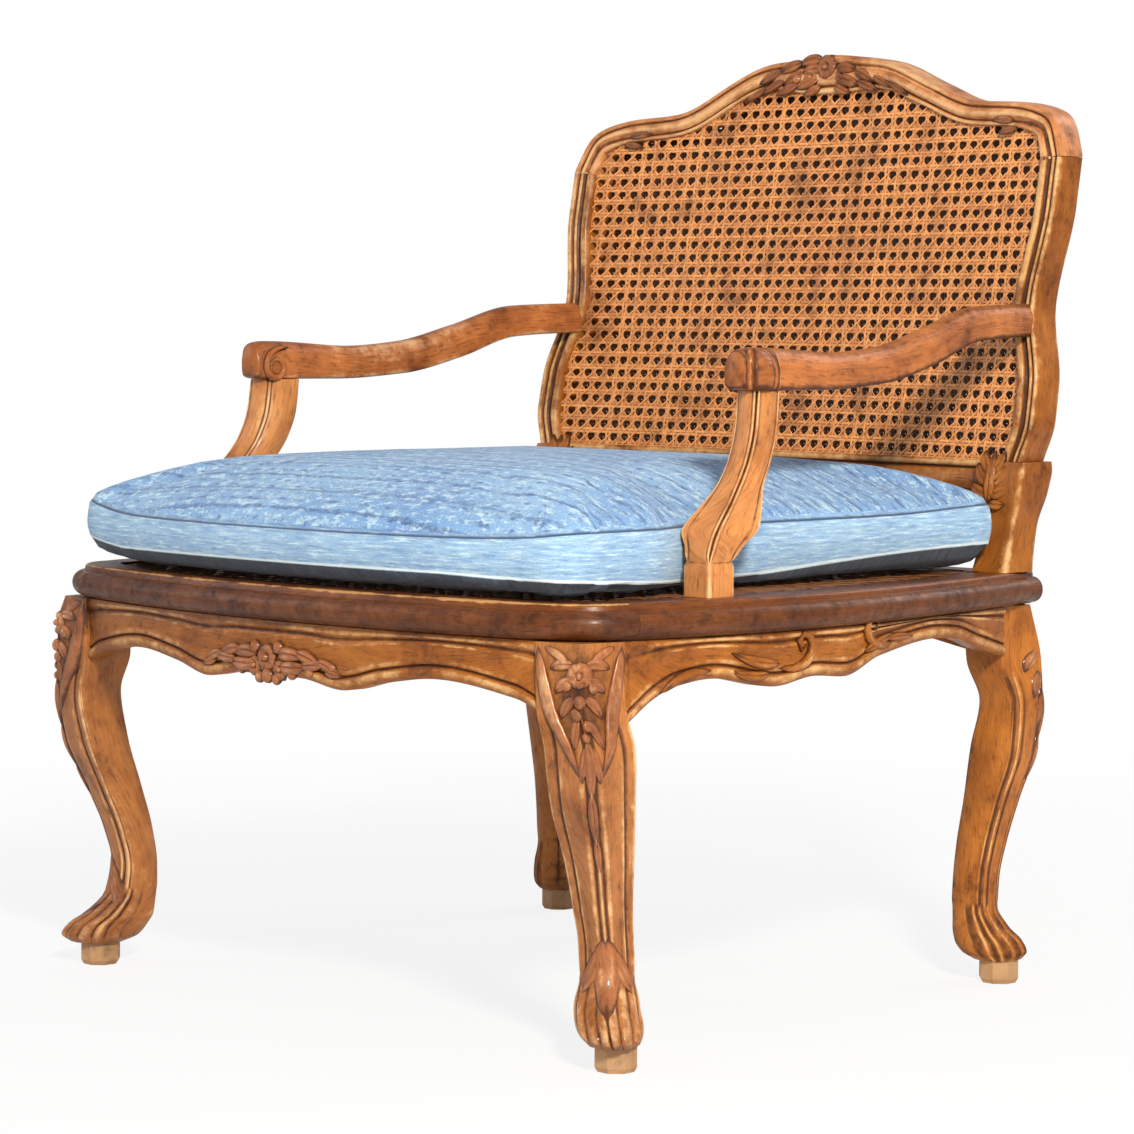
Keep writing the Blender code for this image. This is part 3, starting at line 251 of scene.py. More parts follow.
class Skin:
    """Collects grids of points and makes them one closed mesh.

    Every grid is a stack of closed rings with both ends capped. The mesh carries a UV map
    "grain" in metres (around, along) and the attributes "relief" and "tint".
    """

    def __init__(self) -> None:
        """Start an empty mesh."""
        self.points: list[Array] = []
        self.quads: list[Array] = []
        self.caps: list[list[int]] = []
        self.uvs: list[Array] = []
        self.relief: list[Array] = []
        self.tint: list[Array] = []
        self.size = 0

    def add(
        self,
        block: Array,
        seed: int = 0,
        relief: Array | None = None,
        tones: Pair = (0.0, 1.0),
    ) -> "Skin":
        """Add grids.

        Args:
            block: Grids as (grid, row, column, xyz), or one grid without the first axis.
            seed: Seed of the grids' own tints.
            relief: Relief of each point, where it isn't read from the grids' bends; it also carries
                painted shade on cane and a painted highlight on the seat rails.
            tones: Range of the grids' tints.

        Returns:
            This skin.
        """
        block = block if block.ndim == 4 else block[None]
        flip = inside_out(block)[:, None, None]
        block = np.where(flip[..., None], block[:, :, ::-1], block)
        relief = bends(block) if relief is None else np.where(flip, relief[:, :, ::-1], relief)
        count, rows, columns = block.shape[:3]
        start = self.size + np.arange(count)[:, None, None] * rows * columns
        row = np.arange(rows - 1)[None, :, None] * columns
        column = np.arange(columns)[None, None, :]
        a = start + row + column
        b = start + row + (column + 1) % columns
        self.quads.append(np.stack([a, b, b + columns, a + columns], axis=-1).reshape(-1, 4))
        ring = np.arange(columns)
        first = start[:, 0] + ring[::-1]
        last = start[:, 0] + (rows - 1) * columns + ring
        self.caps += np.vstack([first, last]).tolist()
        tint = np.random.default_rng(seed).uniform(*tones, count)
        closed = np.concatenate([block, block[:, :, :1]], axis=2)
        around = np.linalg.norm(np.diff(closed, axis=2), axis=-1).cumsum(axis=2)
        around = np.concatenate([np.zeros((count, rows, 1)), around], axis=2)
        along = np.linalg.norm(np.diff(block, axis=1), axis=-1).mean(axis=2).cumsum(axis=1)
        along = np.concatenate([np.zeros((count, 1)), along], axis=1)[:, :, None]
        around, along = np.broadcast_arrays(around, along)
        uv = np.stack([around + 7.0 * tint[:, None, None], along], axis=-1)
        corners = [uv[:, :-1, :-1], uv[:, :-1, 1:], uv[:, 1:, 1:], uv[:, 1:, :-1]]
        self.uvs.append(np.stack(corners, axis=3).reshape(-1, 2))
        self.relief.append(relief.ravel())
        self.tint.append(np.repeat(tint, rows * columns))
        self.points.append(block.reshape(-1, 3))
        self.size += count * rows * columns
        return self

    def mesh(self, name: str) -> bpy.types.Mesh:
        """Make the mesh.

        Args:
            name: The mesh's name.

        Returns:
            The mesh, shaded smooth except at its sharp edges.
        """
        points = np.vstack(self.points) + (0.0, FEET_Y, 0.0)
        mesh = bpy.data.meshes.new(name)
        mesh.from_pydata(points.tolist(), [], np.vstack(self.quads).tolist() + self.caps)
        uv = np.vstack(self.uvs)
        spare = np.zeros((len(mesh.loops) - len(uv), 2))
        layer = mesh.uv_layers.new(name="grain")
        layer.data.foreach_set("uv", np.vstack([uv, spare]).ravel())
        for label, values in (("relief", self.relief), ("tint", self.tint)):
            attribute = mesh.attributes.new(label, "FLOAT", "POINT")
            attribute.data.foreach_set("value", np.concatenate(values).astype(np.float32))
        mesh.polygons.foreach_set("use_smooth", np.ones(len(mesh.polygons), bool))
        mesh.set_sharp_from_angle(angle=SHARP_ANGLE)
        mesh.update()
        return mesh


# Shaders


class Value:
    """A socket's number, so that sums of sockets read as plain sums."""

    def __init__(self, nodes: "Nodes", socket: bpy.types.NodeSocket) -> None:
        """Wrap an output socket."""
        self.nodes = nodes
        self.socket = socket

    def __add__(self, other: "Value | float") -> "Value":
        """Sum."""
        return self.nodes.math("ADD", self, other)

    def __sub__(self, other: "Value | float") -> "Value":
        """Difference."""
        return self.nodes.math("SUBTRACT", self, other)

    def __rsub__(self, other: float) -> "Value":
        """Difference from a number."""
        return self.nodes.math("SUBTRACT", other, self)

    def __mul__(self, other: "Value | float") -> "Value":
        """Product."""
        return self.nodes.math("MULTIPLY", self, other)

    __radd__ = __add__
    __rmul__ = __mul__


Input = Value | float | tuple[float, ...]


class Nodes:
    """A node tree under construction."""

    def __init__(self, owner: bpy.types.Material | bpy.types.World) -> None:
        """Start an empty tree.

        Args:
            owner: The material or the world that it belongs to.
        """
        owner.use_nodes = True
        self.tree = owner.node_tree
        self.tree.nodes.clear()

    def node(
        self,
        kind: str,
        settings: dict[str, object] | None = None,
        sockets: dict[str | int, Input] | None = None,
    ) -> bpy.types.Node:
        """Add any node.

        Args:
            kind: The node's type.
            settings: Its own settings, set first.
            sockets: Values or links of its input sockets.

        Returns:
            The node.
        """
        made = self.tree.nodes.new(kind)
        for key, setting in (settings or {}).items():
            setattr(made, key, setting)
        for key, given in (sockets or {}).items():
            self.feed(made.inputs[key], given)
        return made

    def feed(self, socket: bpy.types.NodeSocket, given: Input) -> None:
        """Link a value to a socket, or set the socket's own number or colour.

        Args:
            socket: The input socket.
            given: What it gets.
        """
        if isinstance(given, Value):
            self.tree.links.new(given.socket, socket)
        elif isinstance(given, tuple) and socket.type == "RGBA":
            socket.default_value = (*given, 1.0)
        else:
            socket.default_value = given

    def out(self, node: bpy.types.Node, name: str | int = 0) -> Value:
        """An output of a node."""
        return Value(self, node.outputs[name])

    def math(self, operation: str, first: Input, second: Input) -> Value:
        """A Math node."""
        pair = {0: first, 1: second}
        return self.out(self.node("ShaderNodeMath", {"operation": operation}, pair))

    def mix(self, factor: Input, first: Input, second: Input) -> Value:
        """A mix of two colours."""
        made = self.node("ShaderNodeMix", {"data_type": "RGBA"}, {0: factor, 6: first, 7: second})
        return self.out(made, 2)

    def uv(self) -> Value:
        """The piece's own map, in metres around and along it."""
        return self.out(self.node("ShaderNodeUVMap", {"uv_map": "grain"}))

    def place(self) -> Value:
        """Coordinates of the piece, in metres."""
        return self.out(self.node("ShaderNodeTexCoord"), "Object")

    def attribute(self, name: str) -> Value:
        """A number carried by the mesh."""
        return self.out(self.node("ShaderNodeAttribute", {"attribute_name": name}), "Fac")

    def stretched(self, vector: Value, factors: Triple) -> Value:
        """A vector times one factor for each axis."""
        made = self.node("ShaderNodeVectorMath", {"operation": "MULTIPLY"}, {0: vector, 1: factors})
        return self.out(made)

    def noise(self, vector: Value, scale: float, detail: float = 3.0, rough: float = 0.5) -> Value:
        """A noise pattern around 0.5."""
        sockets = {"Vector": vector, "Scale": scale, "Detail": detail, "Roughness": rough}
        return self.out(self.node("ShaderNodeTexNoise", {}, sockets))

    def step(self, value: Value, low: float, high: float) -> Value:
        """A smooth step from 0 at low to 1 at high."""
        ends = {"Value": value, "From Min": low, "From Max": high}
        return self.out(self.node("ShaderNodeMapRange", {"interpolation_type": "SMOOTHSTEP"}, ends))

    def bump(self, height: Value, strength: float, distance: float) -> Value:
        """A bumped normal."""
        sockets = {"Height": height, "Strength": strength, "Distance": distance}
        return self.out(self.node("ShaderNodeBump", {}, sockets), "Normal")


class Shader(Nodes):
    """A material under construction, with a Principled surface."""

    def __init__(self, name: str) -> None:
        """Start the material.

        Args:
            name: Its name.
        """
        self.material = bpy.data.materials.new(name)
        super().__init__(self.material)
        self.surface = self.node("ShaderNodeBsdfPrincipled")
        self.end = self.node("ShaderNodeOutputMaterial", {}, {"Surface": self.out(self.surface)})

    def finish(self, sockets: dict[str, Input]) -> bpy.types.Material:
        """The material, once its surface's sockets have their values or links."""
        for key, given in sockets.items():
            self.feed(self.surface.inputs[key], given)
        return self.material


@dataclass(frozen=True)
class Finish:
    """A finish, and the record's material slot that it belongs to."""

    name: str
    slot: str

    def material(self) -> bpy.types.Material:
        """The finish's material, made once."""
        return bpy.data.materials.get(self.name) or self.build(Shader(self.name))

    def build(self, shader: Shader) -> bpy.types.Material:
        """Make the material."""
        raise NotImplementedError


@dataclass(frozen=True)
class Wood(Finish):
    """Waxed wood: long grain, blotched patina, dirt in the hollows and wear on the ridges."""

    light: Colour
    deep: Colour
    hollow: Colour
    worn: Colour
    rough: float
    wear_from: float
    wax: float = 0.06

    def build(self, shader: Shader) -> bpy.types.Material:
        """Grain from noise stretched along the piece, blotched, then darkened and worn by relief.

        Args:
            shader: The material to make.

        Returns:
            The material.
        """
        uv = shader.uv()
        place = shader.place()
        fibre = shader.noise(shader.stretched(uv, (1.0, 0.05, 1.0)), 420.0, 5.0, 0.7)
        figure = shader.noise(shader.stretched(uv, (1.0, 0.14, 1.0)), 60.0, 4.0, 0.6)
        pores = shader.noise(shader.stretched(uv, (1.0, 0.09, 1.0)), 620.0, 2.0)
        pores = shader.step(pores, 0.56, 0.7)
        patina = shader.noise(place, 19.0, 5.0, 0.65)
        grime = shader.noise(place, 90.0, 5.0, 0.7)
        relief = shader.attribute("relief")
        tone = shader.step(0.45 * figure + 0.45 * fibre + 0.75 * patina, 0.55, 1.05)
        colour = shader.mix(tone, self.deep, self.light)
        colour = shader.mix(0.5 * pores, colour, self.hollow)
        specks = shader.step(grime * 0.6 + fibre * 0.5 + (0.5 - patina) * 0.7, 0.6, 0.78)
        colour = shader.mix(0.55 * specks, colour, self.hollow)
        dirt = shader.step((grime - 0.5) * 1.3 - relief, 0.12, 0.95)
        colour = shader.mix(0.82 * dirt, colour, self.hollow)
        rubbed = relief + (grime - 0.5) * 1.6 + (patina - 0.5) * 2.4
        rubbed = shader.step(rubbed, self.wear_from, 1.35)
        colour = shader.mix(0.8 * rubbed, colour, self.worn)
        height = 0.5 * fibre + 0.7 * grime - 0.5 * pores
        return shader.finish({
            "Base Color": colour,
            "Roughness": self.rough + 0.25 * dirt + 0.3 * (grime - 0.5),
            "Normal": shader.bump(height, 0.45, 0.0009),
            "Coat Weight": self.wax,
            "Coat Roughness": 0.16,
            "Specular IOR Level": 0.22,
        })


@dataclass(frozen=True)
class Cane(Finish):
    """Split cane: straw-brown strands, each with its own tone, stained, with painted shade on their
    inner sides.
    """

    light: Colour
    deep: Colour
    stain: Colour
    # Colour of the painted shade on the strands' inner sides and edges.
    inner_shade: Colour

    def build(self, shader: Shader) -> bpy.types.Material:
        """Streaks along each strand over its own tone, with stains across the panel and painted
        shade.

        Args:
            shader: The material to make.

        Returns:
            The material.
        """
        uv = shader.uv()
        place = shader.place()
        streak = shader.noise(shader.stretched(uv, (1.0, 0.05, 1.0)), 900.0, 3.0, 0.6)
        along = shader.noise(shader.stretched(uv, (0.1, 1.0, 1.0)), 60.0, 3.0, 0.6)
        stains = shader.step(shader.noise(place, 22.0, 4.0, 0.6), 0.5, 0.72)
        tone = 0.6 * shader.attribute("tint") + 0.5 * along + 0.4 * (streak - 0.5)
        colour = shader.mix(shader.step(tone, 0.22, 0.85), self.deep, self.light)
        colour = shader.mix(0.6 * stains, colour, self.stain)
        # Painted shade: where the relief attribute is negative, on the strands' inner and side
        # corners, the colour turns nearly black.
        inside = shader.step(0.0 - shader.attribute("relief"), 0.04, 0.5)
        colour = shader.mix(0.92 * inside, colour, self.inner_shade)
        return shader.finish({
            "Base Color": colour,
            "Roughness": 0.34 + 0.2 * along,
            "Normal": shader.bump(streak, 0.3, 0.0003),
        })


@dataclass(frozen=True)
class Denim(Finish):
    """Light washed denim: broken dark lines across, white slubs, and a fine weave."""

    light: Colour
    blue: Colour
    line: Colour
    slub: Colour
    faded: Colour
    piping: Colour
    stitch: Colour
    # Colour of the painted shade on the underside.
    under_shade: Colour
    pitch: float
    rib: float
    sway: float = 2.4

    def build(self, shader: Shader) -> bpy.types.Material:
        """Fine lines and wider ribs across the cloth's own map, broken up by stretched noise.

        Args:
            shader: The material to make.

        Returns:
            The material.
        """
        uv = shader.uv()
        place = shader.place()
        across = shader.out(shader.node("ShaderNodeSeparateXYZ", {}, {0: uv}), "Y")
        boxed = shader.attribute("boxed")
        top = 1.0 - boxed
        sway = shader.noise(shader.stretched(uv, (5.0, 9.0, 1.0)), 1.0, 2.0)
        wave = shader.math("SINE", across * (2 * math.pi / self.pitch) + self.sway * sway, 0.0)
        breaks = shader.noise(shader.stretched(uv, (74.0, 135.0, 1.0)), 1.0, 7.0, 0.8)
        lines = shader.step(wave * 0.06 + breaks, 0.53, 0.66)
        ribs = shader.math("SINE", across * (2 * math.pi / self.rib) + self.sway * sway, 0.0)
        ribs = shader.step(ribs + 1.6 * (breaks - 0.5), 0.8, 1.0)
        patches = shader.noise(shader.stretched(uv, (66.0, 120.0, 1.0)), 1.0, 7.0, 0.85)
        dashes = shader.noise(shader.stretched(uv, (40.0, 400.0, 1.0)), 1.0, 4.0, 0.7)
        slubs = dashes * (0.4 + 0.6 * boxed) + 0.3 * top + 2.0 * top * (patches - 0.5)
        slubs = shader.step(slubs, 0.52, 0.64)
        shade = boxed * shader.step(0.0 - dashes, -0.5, -0.36)
        thread = shader.noise(shader.stretched(uv, (500.0, 1300.0, 1.0)), 1.0, 3.0, 0.6)
        fade = shader.noise(place, 9.0, 3.0)
        worn = shader.step(thread * 0.9 + fade * 0.5, 0.45, 0.95)
        colour = shader.mix(worn, self.blue, self.light)
        colour = shader.mix(0.34 * boxed, colour, self.faded)
        colour = shader.mix(0.75 * slubs, colour, self.slub)
        colour = shader.mix(0.6 * shade, colour, self.blue)
        colour = shader.mix(lines * (0.85 - 0.7 * boxed), colour, self.line)
        colour = shader.mix(0.55 * top * ribs, colour, self.line)
        seam = shader.attribute("seam")
        colour = shader.mix(0.92 * shader.step(0.0 - seam, 0.45, 0.9), colour, self.stitch)
        colour = shader.mix(0.9 * shader.step(seam + 0.5 * dashes, 0.75, 1.15), colour, self.piping)
        # Painted shade: the underside turns nearly black.
        colour = shader.mix(0.9 * shader.attribute("under"), colour, self.under_shade)
        height = 0.5 * thread + 0.6 * slubs - 0.7 * lines
        return shader.finish({
            "Base Color": colour,
            "Roughness": 0.9,
            "Normal": shader.bump(height, 0.5, 0.0009),
            "Sheen Weight": 0.15,
        })


WAXED = Wood(
    "honey_wood",
    "waxed_wood",
    light=(0.4, 0.132, 0.019),
    deep=(0.185, 0.048, 0.007),
    hollow=(0.03, 0.008, 0.003),
    worn=(0.76, 0.46, 0.19),
    rough=0.36,
    wear_from=0.4,
)
RUBBED = Wood(
    "rubbed_wood",
    "waxed_wood",
    light=(0.72, 0.29, 0.1),
    deep=(0.35, 0.112, 0.031),
    hollow=(0.03, 0.009, 0.004),
    worn=(0.8, 0.49, 0.23),
    rough=0.38,
    wear_from=0.36,
)
LEG_WOOD = replace(
    RUBBED, name="leg_wood", light=(0.47, 0.175, 0.046), deep=(0.205, 0.062, 0.015), wax=0.2
)
# Rear legs: a brighter copy of the honey wood, painted light on legs whose faces turn from the
# lamps.
LIT_REAR_WOOD = replace(
    WAXED, name="lit_rear_leg_wood", light=(0.52, 0.175, 0.026), deep=(0.25, 0.068, 0.01)
)
CARVED = replace(
    RUBBED, name="carved_wood", light=(0.44, 0.155, 0.052), deep=(0.17, 0.05, 0.015), wax=0.4
)
# Posts: a brighter copy of the honey wood, painted light for the stronger light that falls on them.
LIT_POST_WOOD = replace(
    WAXED,
    name="lit_post_wood",
    light=(0.72, 0.3, 0.095),
    deep=(0.38, 0.125, 0.032),
    hollow=(0.045, 0.013, 0.005),
    worn=(0.84, 0.56, 0.28),
)
# The rail wood's worn colour shows as real wear on sharp ridges and as the painted highlight along
# the rails' top edge.
MAHOGANY = Wood(
    "rail_wood",
    "dark_wood",
    light=(0.2, 0.06, 0.015),
    deep=(0.085, 0.023, 0.007),
    hollow=(0.015, 0.005, 0.002),
    worn=(0.6, 0.31, 0.11),
    rough=0.3,
    wear_from=0.82,
)
ARM_WOOD = replace(
    MAHOGANY,
    name="arm_wood",
    light=(0.54, 0.18, 0.05),
    deep=(0.18, 0.048, 0.014),
    hollow=(0.03, 0.01, 0.005),
    worn=(0.7, 0.42, 0.22),
    wear_from=0.55,
)
PALE = Wood(
    "pad_wood",
    "pale_wood",
    light=(0.6, 0.36, 0.18),
    deep=(0.32, 0.17, 0.08),
    hollow=(0.1, 0.055, 0.03),
    worn=(0.74, 0.56, 0.38),
    rough=0.62,
    wear_from=0.5,
)
CANE = Cane(
    "split_cane",
    "cane",
    light=(0.93, 0.39, 0.12),
    deep=(0.55, 0.185, 0.048),
    stain=(0.15, 0.045, 0.016),
    # Painted shade on the strands' inner sides and edges.
    inner_shade=(0.035, 0.01, 0.004),
)
# The seat's cane: a much darker copy of the back's cane, painted shade for a seat that lies under
# the cushion.
PAINTED_SHADE_SEAT_CANE = replace(CANE, name="shaded_cane", light=(0.26, 0.1, 0.032), deep=(0.12, 0.04, 0.013))
DENIM = Denim(
    "washed_denim",
    "denim",
    light=(0.32, 0.53, 0.76),
    blue=(0.11, 0.25, 0.53),
    line=(0.045, 0.11, 0.3),
    slub=(0.6, 0.8, 0.88),
    faded=(0.5, 0.66, 0.68),
    piping=(0.78, 0.88, 0.9),
    stitch=(0.02, 0.045, 0.12),
    # Painted shade: the underside is nearly black.
    under_shade=(0.032, 0.035, 0.042),
    pitch=0.012,
    rib=0.03,
)


def hung(name: str, data: bpy.types.ID) -> bpy.types.Object:
    """A new object in the scene.

    Args:
        name: Its name.
        data: Its mesh, lamp or camera.

    Returns:
        The object.
    """
    made = bpy.data.objects.new(name, data)
    bpy.context.scene.collection.objects.link(made)
    return made


def dressed(
    name: str,
    skin: Skin,
    finish: Finish,
    nodes: Sequence[str] = (),
    body: Body = Body.FRAME,
) -> bpy.types.Object:
    """Make a piece from a skin and hang it on its body.

    Args:
        name: The piece's name.
        skin: Its surface.
        finish: Its finish.
        nodes: Nodes of the frame that it stands for.
        body: The body that it moves with.

    Returns:
        The piece.
    """
    made = hung(name, skin.mesh(name))
    made.data.materials.append(finish.material())
    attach(made, body.value)
    if nodes:
        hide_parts(*nodes)
    LOG.info("%s: %d faces", name, len(made.data.polygons))
    return made


# Seat frame


FRONT_DROP = (
    (0.0, 0.049), (0.13, 0.049), (0.3, 0.056), (0.46, 0.046),
    (0.66, 0.039), (0.92, 0.05), (1.0, 0.06),
)
REAR_DROP = ((0.0, 0.036), (0.6, 0.032), (1.0, 0.047))
SIDE_DROP = (
    (0.0, 0.08), (0.03, 0.064), (0.06, 0.051), (0.1, 0.041), (0.17, 0.036),
    (0.31, 0.047), (0.4, 0.041), (0.48, 0.044), (0.58, 0.029), (0.74, 0.02),
    (0.82, 0.023), (0.9, 0.034), (1.0, 0.047),
)


@dataclass
class SeatFrame:
    """The four moulded seat rails and the four shaped aprons under them."""

    nose_y: float = SEAT_NOSE_Y
    bow: float = 0.029
    bow_half: float = 0.285
    corner_x: float = 0.375
    corner_y: float = 0.012
    corner_full: float = 0.56
    rear_y: float = 0.593
    rear_half: float = 0.335
    side_bow: float = 0.04
    rail_width: float = 0.055
    nosing: float = 0.012
    low: float = 0.3643
    torus: float = 0.0122
    torus_z: float = 0.0136
    tuck: float = 0.007
    # Painted highlight along the rails' top edge: its place in the section, its width, and its
    # strength on the front and side rails.
    highlight_at: float = 24.2
    highlight_width: float = 1.3
    front_highlight: float = 2.2
    side_highlight: float = 0.9
    apron_top: float = 0.364
    apron_thick: float = 0.024
    border: float = 0.0165
    front_reach: float = 0.3127
    rear_reach: float = 0.2827
    side_reach: Pair = (0.0033, 0.5404)
    stations: int = 181

    def front_nose(self, x: Array | float) -> Array:
        """Y of the front nosing: a parabola across X."""
        return self.nose_y + self.bow * (np.asarray(x) / self.bow_half) ** 2

    def side_nose(self, y: Array | float) -> Array:
        """X of the right nosing: a chord plus a bow that is fullest before its middle.

        Args:
            y: Where along the side.

        Returns:
            X of the nosing there.
        """
        share = (np.asarray(y, float) - self.corner_y) / (self.rear_y - self.corner_y)
        share = np.clip(share, 0.0, 1.0)
        chord = self.corner_x + (self.rear_half - self.corner_x) * share
        return chord + self.side_bow * np.sin(math.pi * share**0.8)

    def rail_profile(self) -> Array:
        """Section of a rail as (distance in from the nosing, height).

        A narrow fillet under a full half-round torus, a small step, the flat top, and the rebate
        of the cane.

        Returns:
            The closed section.
        """
        turn = np.linspace(-math.pi / 2, math.pi / 2, 19)
        foot = ((0.0155, 0.0), (0.014, 0.0003), (0.0136, 0.0012))
        torus = self.torus * np.stack([1.0 - np.cos(turn), np.sin(turn)], axis=1)
        torus = torus + (0.0, self.torus_z)
        step = ((0.0124, 0.0262), (0.0124, 0.0286), (0.0138, 0.0308), (0.0165, 0.0316))
        flat = ((0.0215, 0.0316), (0.046, 0.0316), (0.0465, 0.0306))
        rebate = ((0.0465, 0.029), (self.rail_width, 0.029))
        base = ((self.rail_width, 0.0), (0.03, 0.0))
        return np.vstack([foot, torus, step, flat, rebate, base]) + (0.0, self.low)

    def front_line(self) -> tuple[Array, Array]:
        """Nosing of the front rail, left to right: the bow, and a cubic by two handles at each end.

        Returns:
            The points and their inward normals.
        """
        xs = np.linspace(0.0, self.bow_half, 40, endpoint=False)
        bow = np.stack([xs, self.front_nose(xs)], axis=1)
        start = np.array([self.bow_half, float(self.front_nose(self.bow_half))])
        stop = np.array([self.corner_x, self.corner_y])
        reach = (stop - start) * self.corner_full
        handle_a = start + np.array([1.0, 2 * self.bow / self.bow_half]) * reach[0]
        handle_b = stop - np.array([0.0, reach[1]])
        t = np.linspace(0.0, 1.0, 36)[:, None]
        corner = (1 - t) ** 3 * start + 3 * (1 - t) ** 2 * t * handle_a
        corner = corner + 3 * (1 - t) * t**2 * handle_b + t**3 * stop
        right = np.vstack([bow, corner])
        line = np.vstack([(right * (-1.0, 1.0))[:0:-1], right])
        along = unit(np.gradient(line, axis=0))
        return line, np.stack([-along[:, 1], along[:, 0]], axis=1)

    def rail_grid(self, line: Array, inward: Array) -> Array:
        """The rail section carried along nosing points: point + inward normal * distance.

        Args:
            line: Nosing points.
            inward: Their inward directions.

        Returns:
            The grid.
        """
        section = self.rail_profile()
        plan = line[:, None] + inward[:, None] * section[None, :, :1]
        height = np.broadcast_to(section[None, :, 1:], (*plan.shape[:2], 1))
        return np.concatenate([plan, height], axis=2)

    def rail_relief_and_highlight(self, grid: Array, worn: float) -> Array:
        """Relief of a rail: its bends, and a bell curve of painted highlight along its top edge."""
        # Painted highlight: the worn argument sets how strongly the top edge turns pale.
        edge = bell(np.arange(grid.shape[1]), self.highlight_at, self.highlight_width)
        return bends(grid[None]) + worn * edge

    def side_grid(self) -> Array:
        """The right side rail: its section along the side's nosing, turned in at the rear end.

        Returns:
            The grid.
        """
        ys = np.linspace(self.corner_y + 0.0004, self.rear_y, 60)
        turn = np.linspace(0.0, math.pi / 2, 8)[1:]
        line = np.stack([self.side_nose(ys), ys], axis=1)
        end = line[-1] + self.tuck * np.stack([np.cos(turn) - 1.0, np.sin(turn)], axis=1)
        line = np.vstack([line, end])
        inward = np.broadcast_to((-1.0, 0.0), line.shape)
        return self.rail_grid(line, inward)

    def rear_grid(self) -> Array:
        """The rear rail between the side rails, straight along X.

        Returns:
            The grid.
        """
        half = float(self.side_nose(self.rear_y - self.rail_width)) - self.rail_width
        xs = np.linspace(-half, half, 12)
        line = np.stack([xs, np.full_like(xs, self.rear_y)], axis=1)
        return self.rail_grid(line, np.broadcast_to((0.0, -1.0), line.shape))

    def apron_section(self, drop: Array) -> tuple[Array, Array]:
        """Sections of an apron: (distance behind its face, height) for each drop.

        Down the face the board is a little hollow. A rounded border with an incised line follows
        the lower edge, a second line runs under the rail, and the back is plain.

        Args:
            drop: Depth of the board at each station.

        Returns:
            Arrays (station, point) of distances behind the face and of heights.
        """
        edge, sink = 0.001 * np.array([
            (1.8, 2.2), (3.6, 0.8), (5.8, 0.0), (8.0, 0.1), (9.8, 0.9),
            (11.0, 2.8), (11.9, 3.4), (12.8, 2.4), (14.0, 1.2), (16.5, 1.2),
        ]).T
        rest = np.linspace(0.08, 1.0, 22)
        hollow = 0.0012 + 0.0018 * np.sin(math.pi * rest**0.7) * (1 - rest)
        hollow = hollow + moulded(rest, ((0.0022, 0.72, 0.06), (-0.001, 0.88, 0.08)))
        base = self.apron_top - drop[:, None]
        up = np.maximum(drop[:, None] - self.border, 0.004)
        face_z = np.concatenate([base + edge, base + self.border + up * rest], axis=1)
        face_d = np.broadcast_to(np.concatenate([sink, hollow]), face_z.shape)
        top = np.full_like(base, self.apron_top)
        back_z = np.concatenate([top, base + 0.006, base + 0.001, base, base], axis=1)
        inset = np.array([1.0, 1.0, 0.93, 0.8, 0.16]) * self.apron_thick
        back_d = np.broadcast_to(inset, back_z.shape)
        return np.concatenate([face_d, back_d], axis=1), np.concatenate([face_z, back_z], axis=1)

    def cross_apron(self, end: End) -> Array:
        """The front or rear apron: sections carried along X, at the front on the bow of the seat.

        Args:
            end: Which of the two.

        Returns:
            The grid.
        """
        front = end is End.FRONT
        shares = np.linspace(-1.0, 1.0, self.stations)
        drop = eased(FRONT_DROP if front else REAR_DROP, np.abs(shares))[:, 0]
        depth, height = self.apron_section(drop)
        reach = self.front_reach if front else self.rear_reach
        xs = np.broadcast_to((shares * reach)[:, None], depth.shape)
        if front:
            ys = self.front_nose(xs) + self.nosing + depth
        else:
            ys = self.rear_y - self.nosing - depth
        return np.stack([xs, ys, height], axis=2)

    def side_apron(self) -> Array:
        """The right side apron: sections carried along Y on the bow of the side.

        Returns:
            The grid.
        """
        start, stop = self.side_reach
        shares = np.linspace(0.0, 1.0, self.stations)
        depth, height = self.apron_section(eased(SIDE_DROP, shares)[:, 0])
        ys = np.broadcast_to((start + (stop - start) * shares)[:, None], depth.shape)
        return np.stack([self.side_nose(ys) - self.nosing - depth, ys, height], axis=2)

    def make(self) -> None:
        """Make the rails and the aprons."""
        front = self.rail_grid(*self.front_line())
        # The front rail gets a strong painted highlight on its top edge.
        rail = Skin().add(front, 0, self.rail_relief_and_highlight(front, self.front_highlight))
        dressed("front_seat_rail", rail, MAHOGANY, ["seat_rail_front"])
        dressed("rear_seat_rail", Skin().add(self.rear_grid()), MAHOGANY, ["seat_rail_rear"])
        for end in End:
            apron = Skin().add(self.cross_apron(end))
            dressed(f"{end.value}_apron", apron, WAXED, [f"apron_{end.value}"])
        for side in Side:
            grid = mirrored(self.side_grid(), side)
            # The side rails get a weaker painted highlight on their top edge.
            rail = Skin().add(grid, 0, self.rail_relief_and_highlight(grid, self.side_highlight))
            dressed(f"{side.word}_seat_rail", rail, MAHOGANY, [f"seat_rail_{side.word}"])
            apron = Skin().add(mirrored(self.side_apron(), side))
            dressed(f"{side.word}_apron", apron, WAXED, [f"apron_{side.word}"])


# Legs


